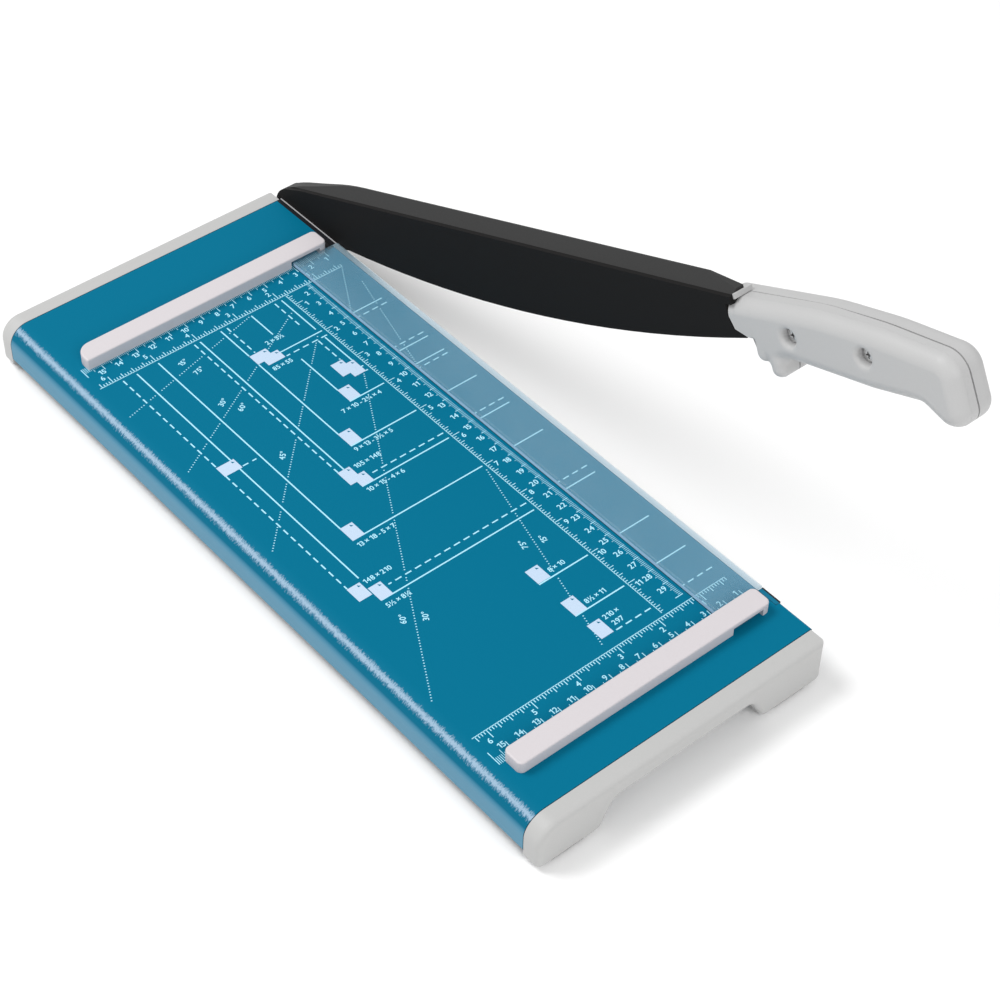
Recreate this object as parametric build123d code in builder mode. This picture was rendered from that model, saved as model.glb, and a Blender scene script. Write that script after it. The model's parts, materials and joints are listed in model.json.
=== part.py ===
from build123d import *
import math
import os

os.makedirs("parts", exist_ok=True)

# All sizes are in millimetres.
# Measuring point: x = 0 on the cutting line, y = 0 on the inner face of the back stop,
# z = 0 on the top of the deck. The deck lies to -X, the handle end points to -Y.

# Deck sheet
cut_length = 320.0
back_margin = 51.0
front_margin = 32.0
deck_width = 172.0
sheet_thick = 1.5
bend_radius = 11.0
flange_drop = 19.0
deck_edge_gap = 1.0
deck_height = 26.5
sheet_hole_gap = 0.3
side_share = 0.99

# End caps and feet
cap_depth = 9.5
cap_round = 2.6
cap_right_gap = 1.5
foot_left_width = 36.0
foot_right_width = 36.5
foot_round = 3.5
arch_height = 15.0
arch_round = 7.0
arch_lean = 8.0
ledge_depth = 12.0
ledge_left_inset = 15.0
ledge_right_inset = 27.0
ledge_gap = 0.1
pad_length = 24.0
pad_width = 6.4
pad_thick = 3.0
pad_stand = 1.5
pad_inset = 6.5
pad_round = 0.5

# Sheet reinforcement
end_bar_thick = 3.0
end_bar_width = 18.0
end_bar_gap = 0.5
rib_width = 18.0
rib_height = 8.0
rib_thick = 1.2
rib_left_inset = 12.0
rib_right_inset = 32.0
rib_places = (-90.0, -215.0)
cap_screw_radius = 1.5
cap_screw_head = 3.2
cap_screw_head_height = 1.8
cap_screw_bite = 2.2
cap_screw_inset = 20.0

# Edge rail and bed knife
knife_thick = 3.0
knife_height = 20.0
knife_overrun = 11.0
knife_side_gap = 0.2
rail_thick = 2.5
rail_width = 12.0
rail_height = 20.0
rail_front_gap = 14.0
knife_screw_count = 5
knife_screw_radius = 2.0
knife_screw_head = 3.8
knife_screw_inset = 26.0
knife_screw_drop = 12.0
knife_screw_length = 8.0
knife_screw_sink = 0.1

# Stops
stop_width = 12.0
stop_height = 6.5
stop_right_gap = 7.5
stop_length = 149.5
stop_end_round = 3.0
stop_big_round = 8.0
stop_edge_round = 0.9
tunnel_width = 18.6
tunnel_height = 4.2
tunnel_right = 12.4
stop_screw_radius = 1.5
stop_screw_head = 3.0
stop_screw_head_height = 2.0
stop_screw_bite = 4.6
stop_screw_count = 3
stop_screw_inset = 20.0
stop_screw_span = 90.0
stop_notch_gap = 0.6

# Clamp
clamp_width = 29.2
clamp_right_gap = 0.8
clamp_thick = 1.8
clamp_rest_lift = 0.75
clamp_end_gap = 0.5
clamp_bevel = 0.9
clamp_lip_width = 1.6
clamp_lip_height = 1.0
tongue_width = 15.0
tongue_right = 14.2
tongue_reach = 10.4
tongue_round = 2.0
post_x = 26.6
post_radius = 1.5
post_drop = 12.6
clip_radius = 3.0
clip_thick = 1.0
clip_up = 0.6
spring_wire = 0.5
spring_radius = 2.3
spring_turns = 6
spring_seat_gap = 0.15
lift_thick = 2.0
lift_gap = 0.7
lift_leg_width = 4.0
lift_above_pin = 3.66
lift_below_pin = 4.44
lift_tail = 6.0
lift_slot_play = 0.3
lift_slot_run = 0.9

# Pivot
pivot_y = 39.0
pivot_drop = 7.0
journal_radius = 4.0
running_gap = 0.05
slip_gap = 0.02
bush_radius = 5.0
bush_proud = 0.1
block_length = 29.0
block_screw_radius = 2.0
block_screw_head = 3.2
block_screw_head_height = 3.0
block_screw_side = 2.4
block_screw_drop = 13.0
block_screw_front = 26.0
block_screw_back = 47.2
washer_radius = 5.3
washer_thick = 1.0
cone_thick = 0.6
cone_height = 0.9
crank_radius = 5.2
crank_thick = 3.2
crank_throw = 1.9
crank_pin_radius = 1.5
crank_pin_length = 4.4
stud_radius = 3.0
stud_past_nut = 1.5
hub_flat = 3.3
hub_washer_radius = 9.0
hub_washer_thick = 1.2
hub_nut_across = 13.0
hub_nut_thick = 5.0
limit_pin_radius = 1.5
limit_pin_path = 10.5
limit_pin_inner = 12.0
limit_pin_outer = 4.2
limit_slot_gap = 0.3
limit_slot_depth = 2.4

# Arm, measured along (s) and across (t) the arm from its pivot
open_angle = 22.9
open_travel = 38.0
close_travel = 22.5
blade_gap = 0.15
blade_thick = 2.5
arm_thick = 6.35
hub_radius = 17.5
hub_boss_radius = 12.5
hub_boss_height = 2.0
arm_top = 24.0
ridge_t = 18.5
ridge_start_s = 14.0
band_run = 5.5
shoulder_start = (-7.0, 16.04)
shoulder_rise = (27.0, 21.0)
shoulder_bend = (45.0, 23.0)
shoulder_end_s = 66.0
shoulder_slope = (1.0, 0.3)
arm_end_s = 350.2
arm_slope_run = 16.2
arm_low_t = -3.0
arm_low_start = 45.0
hub_low = (12.0, -12.7)
arm_low_end = 255.0
arm_front_low_t = 3.4
edge_start = (47.0, -10.7)
edge_middle = (205.0, -17.9)
edge_bevel = 1.6
blade_end_gap = 0.4
notch_middle_place = (2.8, 3.2)
notch_tip_place = (10.2, 0.8)
notch_high = 9.0
blade_screw_count = 5
blade_screw_first = 48.0
blade_screw_inset = 24.2
blade_screw_t = 6.5
blade_screw_radius = 2.0
blade_screw_head = 4.0
blade_screw_head_height = 2.2
blade_screw_sink = 1.2
blade_screw_stop = 0.65
cut_past = 1.0
tang_thick = 3.0
tang_reach = 101.8
tang_overlap = 12.0
tang_height = 12.0
tang_gap = 0.15
tang_rib_inset = 2.0
tang_rib_drop = 1.0
tab_reach = 3.6
tab_end_t = 20.7
tab_low_t = 14.8

# Handle, its places measured along the handle from its front end
handle_gap = 0.3
handle_width = 22.0
seam_from_left = 11.0
handle_edge_round = 7.0
handle_end_gap = 0.4
handle_right_overhang = 5.6
handle_front_t = 16.5
crown_place = (52.4, 19.4)
fall_place = (87.4, 17.6)
butt_high_place = (127.0, 12.4)
butt_lean = 3.0
butt_low_t = -18.9
butt_heel_run = 12.1
grip_back_run = 11.0
grip_low_t = -10.9
grip_middle_run = 27.5
grip_front_place = (43.4, -8.3)
handle_low_front_t = -5.2
handle_line_round = 150.0
handle_grip_round = 60.0
butt_high_round = 11.0
butt_low_round = 8.0
butt_heel_round = 8.0
grip_back_round = 6.0
guard_inset = 10.4
guard_low_t = -10.4
guard_root_t = 1.0
guard_round = 2.0
guard_edge_round = 3.0
finger_stop_inset = 18.6
finger_stop_width = 8.6
finger_stop_low_t = -17.0
finger_stop_round = 4.0
handle_screw_inset = 35.4
handle_screw_spacing = 44.0
handle_screw_t = 5.2
handle_screw_radius = 2.0
handle_well_radius = 4.6
handle_well_depth = 3.8
handle_screw_head = 3.7
handle_screw_head_height = 2.4
handle_nut_across = 7.0
handle_nut_thick = 3.2
handle_nut_pocket = 6.0
handle_nut_gap = 0.1
handle_screw_past_nut = 0.8
lip_thick = 1.0
lip_left = 1.9
lip_right = 12.6
lip_low_t = 17.0
lip_top_t = 19.4
lip_root_t = 15.0
corner_cut_gap = 0.3

# Worked out sizes
deck_back = back_margin
deck_front = -cut_length - front_margin
deck_length = deck_back - deck_front
knife_front = -cut_length - knife_overrun
knife_length = deck_back - knife_front
rail_front = deck_front + rail_front_gap
rail_left = -knife_thick - rail_width
foot_height = deck_height - pad_stand
under_sheet = -sheet_thick
arm_left = blade_gap + blade_thick
arm_right = arm_left + arm_thick
handle_left = handle_gap
handle_right = handle_left + handle_width
seam_x = handle_left + seam_from_left
tang_left = arm_right - tang_thick
opening = math.radians(open_angle)
stop_left = -stop_right_gap - stop_length
back_stop_middle = stop_width / 2
front_stop_middle = -cut_length - stop_width / 2
clamp_top = clamp_rest_lift + clamp_thick
tongue_middle = -tongue_right - tongue_width / 2
washer_x = rail_left - washer_thick
cone_x = washer_x - cone_height
crank_x = cone_x - crank_thick
lift_x = crank_x - lift_gap - lift_thick
crank_angle = math.radians((close_travel - open_travel) / 2)
crank_pin_y = pivot_y - crank_throw * math.cos(crank_angle)
crank_pin_z = -pivot_drop + crank_throw * math.sin(crank_angle)
lift_low = crank_pin_z - lift_below_pin
lift_high = crank_pin_z + lift_above_pin
block_low = under_sheet - rail_height
hub_face = arm_right + hub_boss_height
hub_nut_x = hub_face + hub_washer_thick
nut_pocket_x = handle_right - handle_nut_pocket

# Front end of the arm and of the blade
arm_straight_end = arm_end_s - arm_slope_run
tab_end_s = arm_end_s + tab_reach
tang_end_s = arm_end_s + tang_reach
blade_screw_last = arm_end_s - blade_screw_inset
notch_middle = (arm_end_s + notch_middle_place[0], notch_middle_place[1])
notch_tip = (arm_end_s + notch_tip_place[0], notch_tip_place[1])

# Handle, along the arm
handle_front_s = arm_end_s + handle_end_gap
handle_right_front = handle_front_s - handle_right_overhang
handle_crown = (handle_front_s + crown_place[0], crown_place[1])
handle_fall = (handle_front_s + fall_place[0], fall_place[1])
handle_butt_high = (handle_front_s + butt_high_place[0], butt_high_place[1])
handle_butt_low = (handle_butt_high[0] + butt_lean, butt_low_t)
handle_butt_heel = (handle_butt_low[0] - butt_heel_run, butt_low_t)
handle_grip_back = (handle_butt_heel[0] - grip_back_run, grip_low_t)
handle_grip_middle = (handle_grip_back[0] - grip_middle_run, grip_low_t)
handle_grip_front = (handle_front_s + grip_front_place[0], grip_front_place[1])
guard_front_s = handle_front_s + guard_inset
finger_stop_front_s = handle_front_s + finger_stop_inset
finger_stop_back_s = finger_stop_front_s + finger_stop_width
handle_screw_s = handle_front_s + handle_screw_inset

# Middle of the rounding at the low end of the handle, the point that reaches furthest to the front
butt_run = handle_butt_low[0] - handle_butt_high[0]
butt_fall = handle_butt_high[1] - handle_butt_low[1]
butt_side = math.hypot(butt_run, butt_fall)
reach_t = handle_butt_low[1] + butt_low_round
reach_s = handle_butt_low[0] - butt_run / butt_fall * butt_low_round - butt_low_round * butt_side / butt_fall

# The origin is the middle of the whole outline on the table, with the arm as shown.
reach_front = pivot_y - reach_s * math.cos(opening) + reach_t * math.sin(opening) - butt_low_round
reach_back = deck_back + cap_depth
origin_x = (deck_width - handle_right) / 2
origin_y = -(reach_front + reach_back) / 2
origin_z = deck_height


# Planes and places
def level(z):
    return Plane(origin=(origin_x, origin_y, origin_z + z))


def station(y):
    return Plane(origin=(origin_x, origin_y + y, origin_z), x_dir=(1, 0, 0), z_dir=(0, -1, 0))


def side(x):
    return Plane(origin=(origin_x + x, origin_y, origin_z), x_dir=(0, 1, 0), z_dir=(1, 0, 0))


def pivot_side(x):
    centre = (origin_x + x, origin_y + pivot_y, origin_z - pivot_drop)
    return Plane(origin=centre, x_dir=(0, 1, 0), z_dir=(1, 0, 0))


def arm_side(x):
    centre = (origin_x + x, origin_y + pivot_y, origin_z - pivot_drop)
    along = (0, -math.cos(opening), math.sin(opening))
    return Plane(origin=centre, x_dir=along, z_dir=(-1, 0, 0))


def arm_across(s):
    along = Vector(0, -math.cos(opening), math.sin(opening))
    centre = Vector(origin_x, origin_y + pivot_y, origin_z - pivot_drop)
    return Plane(origin=centre + along * s, x_dir=(1, 0, 0), z_dir=along)


def facing_down(x, y, z):
    return Location((origin_x + x, origin_y + y, origin_z + z), (180, 0, 0))


def facing_right(x, y, z):
    return Location((origin_x + x, origin_y + y, origin_z + z), (0, 90, 0))


def facing_left(x, y, z):
    return Location((origin_x + x, origin_y + y, origin_z + z), (0, -90, 0))


def arm_facing_right(x, s, t):
    return Location(arm_side(x).from_local_coords((s, t, 0)), (0, 90, 0))


def arm_facing_left(x, s, t):
    return Location(arm_side(x).from_local_coords((s, t, 0)), (0, -90, 0))


def spaced(first, last, count):
    return [first + (last - first) * i / (count - 1) for i in range(count)]


def save(part, name):
    part.label = name
    export_step(part, f"parts/{name}.step")


# How far a corner turns, as an angle
def corner_turn(before, corner, after):
    turn = math.atan2(after[1] - corner[1], after[0] - corner[0])
    turn -= math.atan2(corner[1] - before[1], corner[0] - before[0])
    return abs(math.remainder(turn, 2 * math.pi))


# A closed outline of (u, v, corner radius) points.
# Where two roundings ask for more than the side between them holds, they shrink in proportion.
def rounded_outline(corners):
    points = [(u, v) for u, v, r in corners]
    following = points[1:] + points[:1]
    turns = [corner_turn(points[i - 1], points[i], following[i]) for i in range(len(points))]
    runs = [corners[i][2] * math.tan(turns[i] / 2) for i in range(len(points))]
    asked = [(runs[i - 1] + runs[i]) / math.dist(points[i - 1], points[i]) for i in range(len(points))]
    Polygon(*points, align=None)
    for i, (u, v, r) in enumerate(corners):
        crowding = max(asked[i], asked[(i + 1) % len(points)])
        if r > 0:
            fillet(vertices().sort_by_distance((u, v))[0], r * min(1, side_share / crowding))


# Screw standing at each current place: head on the +Z side, shank on the -Z side
high_end = (Align.CENTER, Align.CENTER, Align.MAX)


def flat_head_screw(radius, length, head_radius, head_height):
    Cylinder(radius, length + head_height, align=high_end)
    Cylinder(head_radius, head_height, align=high_end)
    Box(head_radius * 1.3, head_radius * 0.3, head_height, align=(Align.CENTER, Align.CENTER, Align.CENTER),
        mode=Mode.SUBTRACT)
    Box(head_radius * 0.3, head_radius * 1.3, head_height, align=(Align.CENTER, Align.CENTER, Align.CENTER),
        mode=Mode.SUBTRACT)


stop_screw_xs = spaced(stop_left + stop_screw_inset, stop_left + stop_screw_inset + stop_screw_span,
                       stop_screw_count)
stop_screw_places = [(x, y) for x in stop_screw_xs for y in (back_stop_middle, front_stop_middle)]
cap_screw_xs = (-deck_width + ledge_left_inset + cap_screw_inset, -ledge_right_inset - cap_screw_inset)
cap_screw_ys = (deck_front + ledge_depth / 2, deck_back - ledge_depth / 2)
cap_screw_places = [(x, y) for x in cap_screw_xs for y in cap_screw_ys]
leg_places = [back_stop_middle, front_stop_middle]
knife_screw_ys = spaced(knife_front + knife_screw_inset, pivot_y - knife_screw_inset, knife_screw_count)
block_screw_ys = (block_screw_front, block_screw_back)
notch_low = (notch_middle[0] - blade_end_gap, notch_middle[1] - blade_end_gap)
edge_tip = (notch_tip[0] - blade_end_gap, notch_tip[1] - blade_end_gap)
blade_screw_ss = spaced(blade_screw_first, blade_screw_last, blade_screw_count)
handle_screw_ss = (handle_screw_s, handle_screw_s + handle_screw_spacing)
leg_middle_x = lift_x + lift_thick / 2

# Deck plate: one bent sheet with a rolled left edge
with BuildPart() as deck_plate:
    with BuildSketch(station(deck_back)):
        with BuildLine():
            bend_x = -deck_width + bend_radius
            top = Line((-deck_edge_gap, 0), (bend_x, 0))
            roll = RadiusArc(top @ 1, (-deck_width, -bend_radius), -bend_radius)
            drop = Line(roll @ 1, (-deck_width, -flange_drop))
            lip = Line(drop @ 1, (-deck_width + sheet_thick, -flange_drop))
            rise = Line(lip @ 1, (-deck_width + sheet_thick, -bend_radius))
            unroll = RadiusArc(rise @ 1, (bend_x, -sheet_thick), bend_radius - sheet_thick)
            under = Line(unroll @ 1, (-deck_edge_gap, -sheet_thick))
            Line(under @ 1, top @ 0)
        make_face()
    extrude(amount=deck_length)
    # Recess for the bed knife, wider beside the back stop
    with BuildSketch(level(0)):
        with Locations((0, (knife_front - knife_side_gap + deck_back) / 2)):
            Rectangle(2 * (knife_thick + knife_side_gap), knife_length + knife_side_gap)
        with Locations((0, back_stop_middle)):
            Rectangle(2 * (stop_right_gap - stop_notch_gap), stop_width)
    extrude(amount=-sheet_thick, mode=Mode.SUBTRACT)
    # Holes for the stop screws, the guide post and the two legs of the lift bar
    with BuildSketch(level(0)):
        with Locations(*stop_screw_places):
            Circle(stop_screw_radius + sheet_hole_gap)
        with Locations((-post_x, front_stop_middle)):
            Circle(post_radius + sheet_hole_gap)
        for y in leg_places:
            with Locations((leg_middle_x, y)):
                Rectangle(lift_thick + 2 * sheet_hole_gap, lift_leg_width + 2 * sheet_hole_gap)
    extrude(amount=-sheet_thick, mode=Mode.SUBTRACT)
save(deck_plate.part, "deck_plate")


# End caps: moulded ends with two feet, an arch between them and a ledge under the deck
foot_left_end = -deck_width + foot_left_width
foot_right_start = -cap_right_gap - foot_right_width
arch_z = -foot_height + arch_height
pad_xs = (-deck_width + pad_inset + pad_length / 2, -cap_right_gap - pad_inset - pad_length / 2)
pad_ys = (deck_front - cap_depth / 2, deck_back + cap_depth / 2)


def end_cap(joint_y, outward):
    with BuildPart() as cap:
        with BuildSketch(station(joint_y)):
            rounded_outline([(-cap_right_gap, 0, 0),
                             (-deck_width, 0, bend_radius),
                             (-deck_width, -foot_height, foot_round),
                             (foot_left_end, -foot_height, foot_round),
                             (foot_left_end + arch_lean, arch_z, arch_round),
                             (foot_right_start - arch_lean, arch_z, arch_round),
                             (foot_right_start, -foot_height, foot_round),
                             (-cap_right_gap, -foot_height, foot_round)])
        extrude(amount=-outward * cap_depth)
        outer_face = faces().filter_by(Axis.Y).sort_by(Axis.Y)[-1 if outward > 0 else 0]
        fillet(outer_face.edges(), cap_round)
        # Ledge that carries the deck
        ledge_left = -deck_width + ledge_left_inset
        ledge_top = under_sheet - end_bar_thick - ledge_gap
        with BuildSketch(station(joint_y)):
            with Locations(((ledge_left - ledge_right_inset) / 2, (ledge_top + arch_z) / 2)):
                Rectangle(-ledge_right_inset - ledge_left, ledge_top - arch_z)
        extrude(amount=outward * ledge_depth)
        with BuildSketch(level(arch_z)):
            for x in cap_screw_xs:
                with Locations((x, joint_y - outward * ledge_depth / 2)):
                    Circle(cap_screw_radius + slip_gap)
        extrude(amount=ledge_top - arch_z, mode=Mode.SUBTRACT)
        # Sockets for the rubber pads
        with BuildSketch(level(-foot_height)):
            for x in pad_xs:
                with Locations((x, joint_y + outward * cap_depth / 2)):
                    SlotOverall(pad_length, pad_width)
        extrude(amount=pad_thick - pad_stand, mode=Mode.SUBTRACT)
    return cap


save(end_cap(deck_front, -1).part, "front_end_cap")
save(end_cap(deck_back, 1).part, "back_end_cap")


# Rubber pads
def rubber_pad(x, y):
    with BuildPart() as pad:
        with BuildSketch(level(-deck_height)):
            with Locations((x, y)):
                SlotOverall(pad_length - 2 * slip_gap, pad_width - 2 * slip_gap)
        extrude(amount=pad_thick - slip_gap)
        fillet(faces().sort_by(Axis.Z)[0].edges(), pad_round)
    return pad


for end_name, y in zip(("front", "back"), pad_ys):
    for side_name, x in zip(("left", "right"), pad_xs):
        save(rubber_pad(x, y).part, f"{end_name}_{side_name}_pad")

# Cross bars at both ends of the deck, into which the cap screws go
with BuildPart() as end_bars:
    bar_left = -deck_width + ledge_left_inset
    bar_middles = (deck_front + end_bar_gap + end_bar_width / 2, deck_back - end_bar_gap - end_bar_width / 2)
    with BuildSketch(level(under_sheet)):
        with Locations(*[((bar_left - ledge_right_inset) / 2, y) for y in bar_middles]):
            Rectangle(-ledge_right_inset - bar_left, end_bar_width)
        with Locations(*cap_screw_places):
            Circle(cap_screw_radius + slip_gap, mode=Mode.SUBTRACT)
    extrude(amount=-end_bar_thick)
save(end_bars.part, "deck_end_bars")

# Two pressed channels that stiffen the middle of the deck
with BuildPart() as ribs:
    rib_left = -deck_width + rib_left_inset
    with BuildSketch(side(rib_left)):
        for y in rib_places:
            with Locations((y, under_sheet - rib_height / 2)):
                Rectangle(rib_width, rib_height)
            with Locations((y, under_sheet - (rib_height - rib_thick) / 2)):
                Rectangle(rib_width - 2 * rib_thick, rib_height - rib_thick, mode=Mode.SUBTRACT)
    extrude(amount=-rib_right_inset - rib_left)
save(ribs.part, "deck_ribs")

# Screws that hold the caps to the cross bars
cap_screw_length = under_sheet - end_bar_thick - arch_z + cap_screw_bite
with BuildPart() as cap_screws:
    with Locations(*[facing_down(x, y, arch_z - cap_screw_head_height) for x, y in cap_screw_places]):
        flat_head_screw(cap_screw_radius, cap_screw_length, cap_screw_head, cap_screw_head_height)
save(cap_screws.part, "cap_screws")

# Edge rail: folded angle under the right side, welded to the sheet
with BuildPart() as edge_rail:
    with BuildSketch(station(deck_back)):
        rounded_outline([(-knife_thick, under_sheet, 0),
                         (rail_left, under_sheet, 0),
                         (rail_left, under_sheet - rail_thick, 0),
                         (-knife_thick - rail_thick, under_sheet - rail_thick, 0),
                         (-knife_thick - rail_thick, block_low, 0),
                         (-knife_thick, block_low, 0)])
    extrude(amount=deck_back - rail_front)
    # Room for the pivot block
    with BuildSketch(level(under_sheet)):
        with Locations((-knife_thick - rail_thick, deck_back)):
            Rectangle(2 * rail_width, 2 * (block_length + slip_gap), align=(Align.MAX, Align.CENTER))
    extrude(amount=-rail_thick, mode=Mode.SUBTRACT)
    with Locations(*[facing_right(-knife_thick, y, -knife_screw_drop) for y in knife_screw_ys]):
        Hole(knife_screw_radius + slip_gap, 2 * rail_thick)
    with Locations(*[facing_right(-knife_thick, y, -block_screw_drop) for y in block_screw_ys]):
        Hole(block_screw_radius + slip_gap, 2 * rail_thick)
    with Locations(facing_right(-knife_thick, pivot_y, -pivot_drop)):
        Hole(bush_radius + slip_gap, 2 * rail_thick)
    with Locations(facing_right(-knife_thick, pivot_y, -pivot_drop - limit_pin_path)):
        Hole(limit_pin_radius + slip_gap, 2 * rail_thick)
save(edge_rail.part, "edge_rail")

# Bed knife: hardened strip beside the deck
with BuildPart() as bed_knife:
    with BuildSketch(side(-knife_thick)):
        with Locations(((knife_front + deck_back) / 2, -knife_height / 2)):
            Rectangle(knife_length, knife_height)
        with Locations(*[(y, -block_screw_drop) for y in block_screw_ys]):
            Circle(block_screw_radius + slip_gap, mode=Mode.SUBTRACT)
        with Locations((pivot_y, -pivot_drop)):
            Circle(bush_radius + slip_gap, mode=Mode.SUBTRACT)
        with Locations((pivot_y, -pivot_drop - limit_pin_path)):
            Circle(limit_pin_radius + slip_gap, mode=Mode.SUBTRACT)
    extrude(amount=knife_thick)
    with Locations(*[facing_right(0, y, -knife_screw_drop) for y in knife_screw_ys]):
        CounterSinkHole(knife_screw_radius + slip_gap, knife_screw_head + slip_gap)
save(bed_knife.part, "bed_knife")

# Countersunk screws of the bed knife
with BuildPart() as knife_screws:
    cone_height_knife = knife_screw_head - knife_screw_radius
    with Locations(*[facing_right(-knife_screw_sink, y, -knife_screw_drop) for y in knife_screw_ys]):
        Cone(knife_screw_radius, knife_screw_head - knife_screw_sink, cone_height_knife - knife_screw_sink,
             align=high_end)
        Cylinder(knife_screw_radius, knife_screw_length, align=high_end)
        Box(knife_screw_head, knife_thick / 4, knife_thick / 2, mode=Mode.SUBTRACT)
        Box(knife_thick / 4, knife_screw_head, knife_thick / 2, mode=Mode.SUBTRACT)
save(knife_screws.part, "knife_screws")

# Pivot block inside the rail
with BuildPart() as pivot_block:
    with BuildSketch(side(rail_left)):
        with Locations((deck_back - block_length / 2, (under_sheet + block_low) / 2)):
            Rectangle(block_length, rail_height)
        with Locations(*[(y, -block_screw_drop) for y in block_screw_ys]):
            Circle(block_screw_radius + slip_gap, mode=Mode.SUBTRACT)
        with Locations((pivot_y, -pivot_drop - limit_pin_path)):
            Circle(limit_pin_radius + slip_gap, mode=Mode.SUBTRACT)
        with Locations((pivot_y, -pivot_drop)):
            Circle(bush_radius + slip_gap, mode=Mode.SUBTRACT)
    extrude(amount=rail_width - rail_thick)
save(pivot_block.part, "pivot_block")

# Socket screws of the pivot block
with BuildPart() as block_screws:
    head_x = rail_left - block_screw_head_height
    with Locations(*[facing_left(head_x, y, -block_screw_drop) for y in block_screw_ys]):
        flat_head_screw(block_screw_radius, rail_width + block_screw_side, block_screw_head,
                        block_screw_head_height)
save(block_screws.part, "block_screws")

# Plain bush for the pivot shaft
with BuildPart() as pivot_bush:
    with BuildSketch(pivot_side(rail_left)):
        Circle(bush_radius)
        Circle(journal_radius + running_gap, mode=Mode.SUBTRACT)
    extrude(amount=bush_proud - rail_left)
save(pivot_bush.part, "pivot_bush")

# Limit pin: its outer end runs in the arc slot of the hub
with BuildPart() as limit_pin:
    with BuildSketch(pivot_side(-limit_pin_inner)):
        with Locations((0, -limit_pin_path)):
            Circle(limit_pin_radius)
    extrude(amount=limit_pin_inner + limit_pin_outer)
save(limit_pin.part, "limit_pin")


# Paper stops, each with a tunnel for the clamp tongue
def paper_stop(middle_y, left_rounds):
    with BuildPart() as stop:
        with BuildSketch(level(0)):
            right = -stop_right_gap
            low = middle_y - stop_width / 2
            high = middle_y + stop_width / 2
            rounded_outline([(right, low, stop_end_round),
                             (right, high, stop_end_round),
                             (stop_left, high, left_rounds[1]),
                             (stop_left, low, left_rounds[0])])
        extrude(amount=stop_height)
        fillet(faces().sort_by(Axis.Z)[-1].edges(), stop_edge_round)
        with BuildSketch(level(0)):
            with Locations((-tunnel_right - tunnel_width / 2, middle_y)):
                Rectangle(tunnel_width, 2 * stop_width)
        extrude(amount=tunnel_height, mode=Mode.SUBTRACT)
        with BuildSketch(level(0)):
            with Locations(*[(x, middle_y) for x in stop_screw_xs]):
                Circle(stop_screw_radius + slip_gap)
        extrude(amount=stop_screw_bite, mode=Mode.SUBTRACT)
    return stop


save(paper_stop(back_stop_middle, (stop_edge_round, stop_big_round)).part, "back_stop")
save(paper_stop(front_stop_middle, (stop_end_round, stop_end_round)).part, "front_stop")

# Screws that hold the stops from below
with BuildPart() as stop_screws:
    with Locations(*[facing_down(x, y, under_sheet - stop_screw_head_height) for x, y in stop_screw_places]):
        flat_head_screw(stop_screw_radius, sheet_thick + stop_screw_bite, stop_screw_head,
                        stop_screw_head_height)
save(stop_screws.part, "stop_screws")

# Clamp: transparent strip with a lip on its left edge and a tongue at each end
with BuildPart() as clamp_plate:
    clamp_left = -clamp_right_gap - clamp_width
    clamp_length = cut_length - 2 * clamp_end_gap
    tongue_length = clamp_length + 2 * (clamp_end_gap + tongue_reach)
    with BuildSketch(level(clamp_rest_lift)):
        with Locations((-clamp_right_gap - clamp_width / 2, -cut_length / 2)):
            Rectangle(clamp_width, clamp_length)
        with Locations((tongue_middle, -cut_length / 2)):
            RectangleRounded(tongue_width, tongue_length, tongue_round)
        with Locations((-post_x, front_stop_middle)):
            Circle(post_radius + slip_gap, mode=Mode.SUBTRACT)
        for y in leg_places:
            with Locations((leg_middle_x, y)):
                Rectangle(lift_thick + 2 * slip_gap, lift_leg_width + 2 * slip_gap, mode=Mode.SUBTRACT)
    extrude(amount=clamp_thick)
    right_edge = edges().filter_by(Axis.Y).group_by(Axis.X)[-1].sort_by(Axis.Z)[-1]
    chamfer(right_edge, clamp_bevel)
    with BuildSketch(level(clamp_top)):
        with Locations((clamp_left + clamp_lip_width / 2, -cut_length / 2)):
            Rectangle(clamp_lip_width, clamp_length)
    extrude(amount=clamp_lip_height)
save(clamp_plate.part, "clamp_plate")

# Lift bar: flat plate on edge under the deck, with a leg up to each tongue
with BuildPart() as clamp_lift_bar:
    with BuildSketch(side(lift_x)):
        bar_back = pivot_y + lift_tail
        bar_front = front_stop_middle - lift_leg_width / 2
        with Locations(((bar_back + bar_front) / 2, (lift_low + lift_high) / 2)):
            Rectangle(bar_back - bar_front, lift_high - lift_low)
        for y in leg_places:
            with Locations((y, (lift_low + clamp_top) / 2)):
                Rectangle(lift_leg_width, clamp_top - lift_low)
        with Locations((crank_pin_y, crank_pin_z)):
            SlotOverall(2 * (crank_pin_radius + lift_slot_run), 2 * (crank_pin_radius + lift_slot_play),
                        mode=Mode.SUBTRACT)
    extrude(amount=lift_thick)
save(clamp_lift_bar.part, "clamp_lift_bar")

# Guide post, clip and spring of the clamp at the front
with BuildPart() as guide_post:
    with BuildSketch(level(-post_drop)):
        with Locations((-post_x, front_stop_middle)):
            Circle(post_radius)
    extrude(amount=post_drop + clamp_top)
save(guide_post.part, "guide_post")

with BuildPart() as post_clip:
    with BuildSketch(level(-post_drop + clip_up)):
        with Locations((-post_x, front_stop_middle)):
            Circle(clip_radius)
            Circle(post_radius + slip_gap, mode=Mode.SUBTRACT)
    extrude(amount=clip_thick)
save(post_clip.part, "post_clip")

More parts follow.
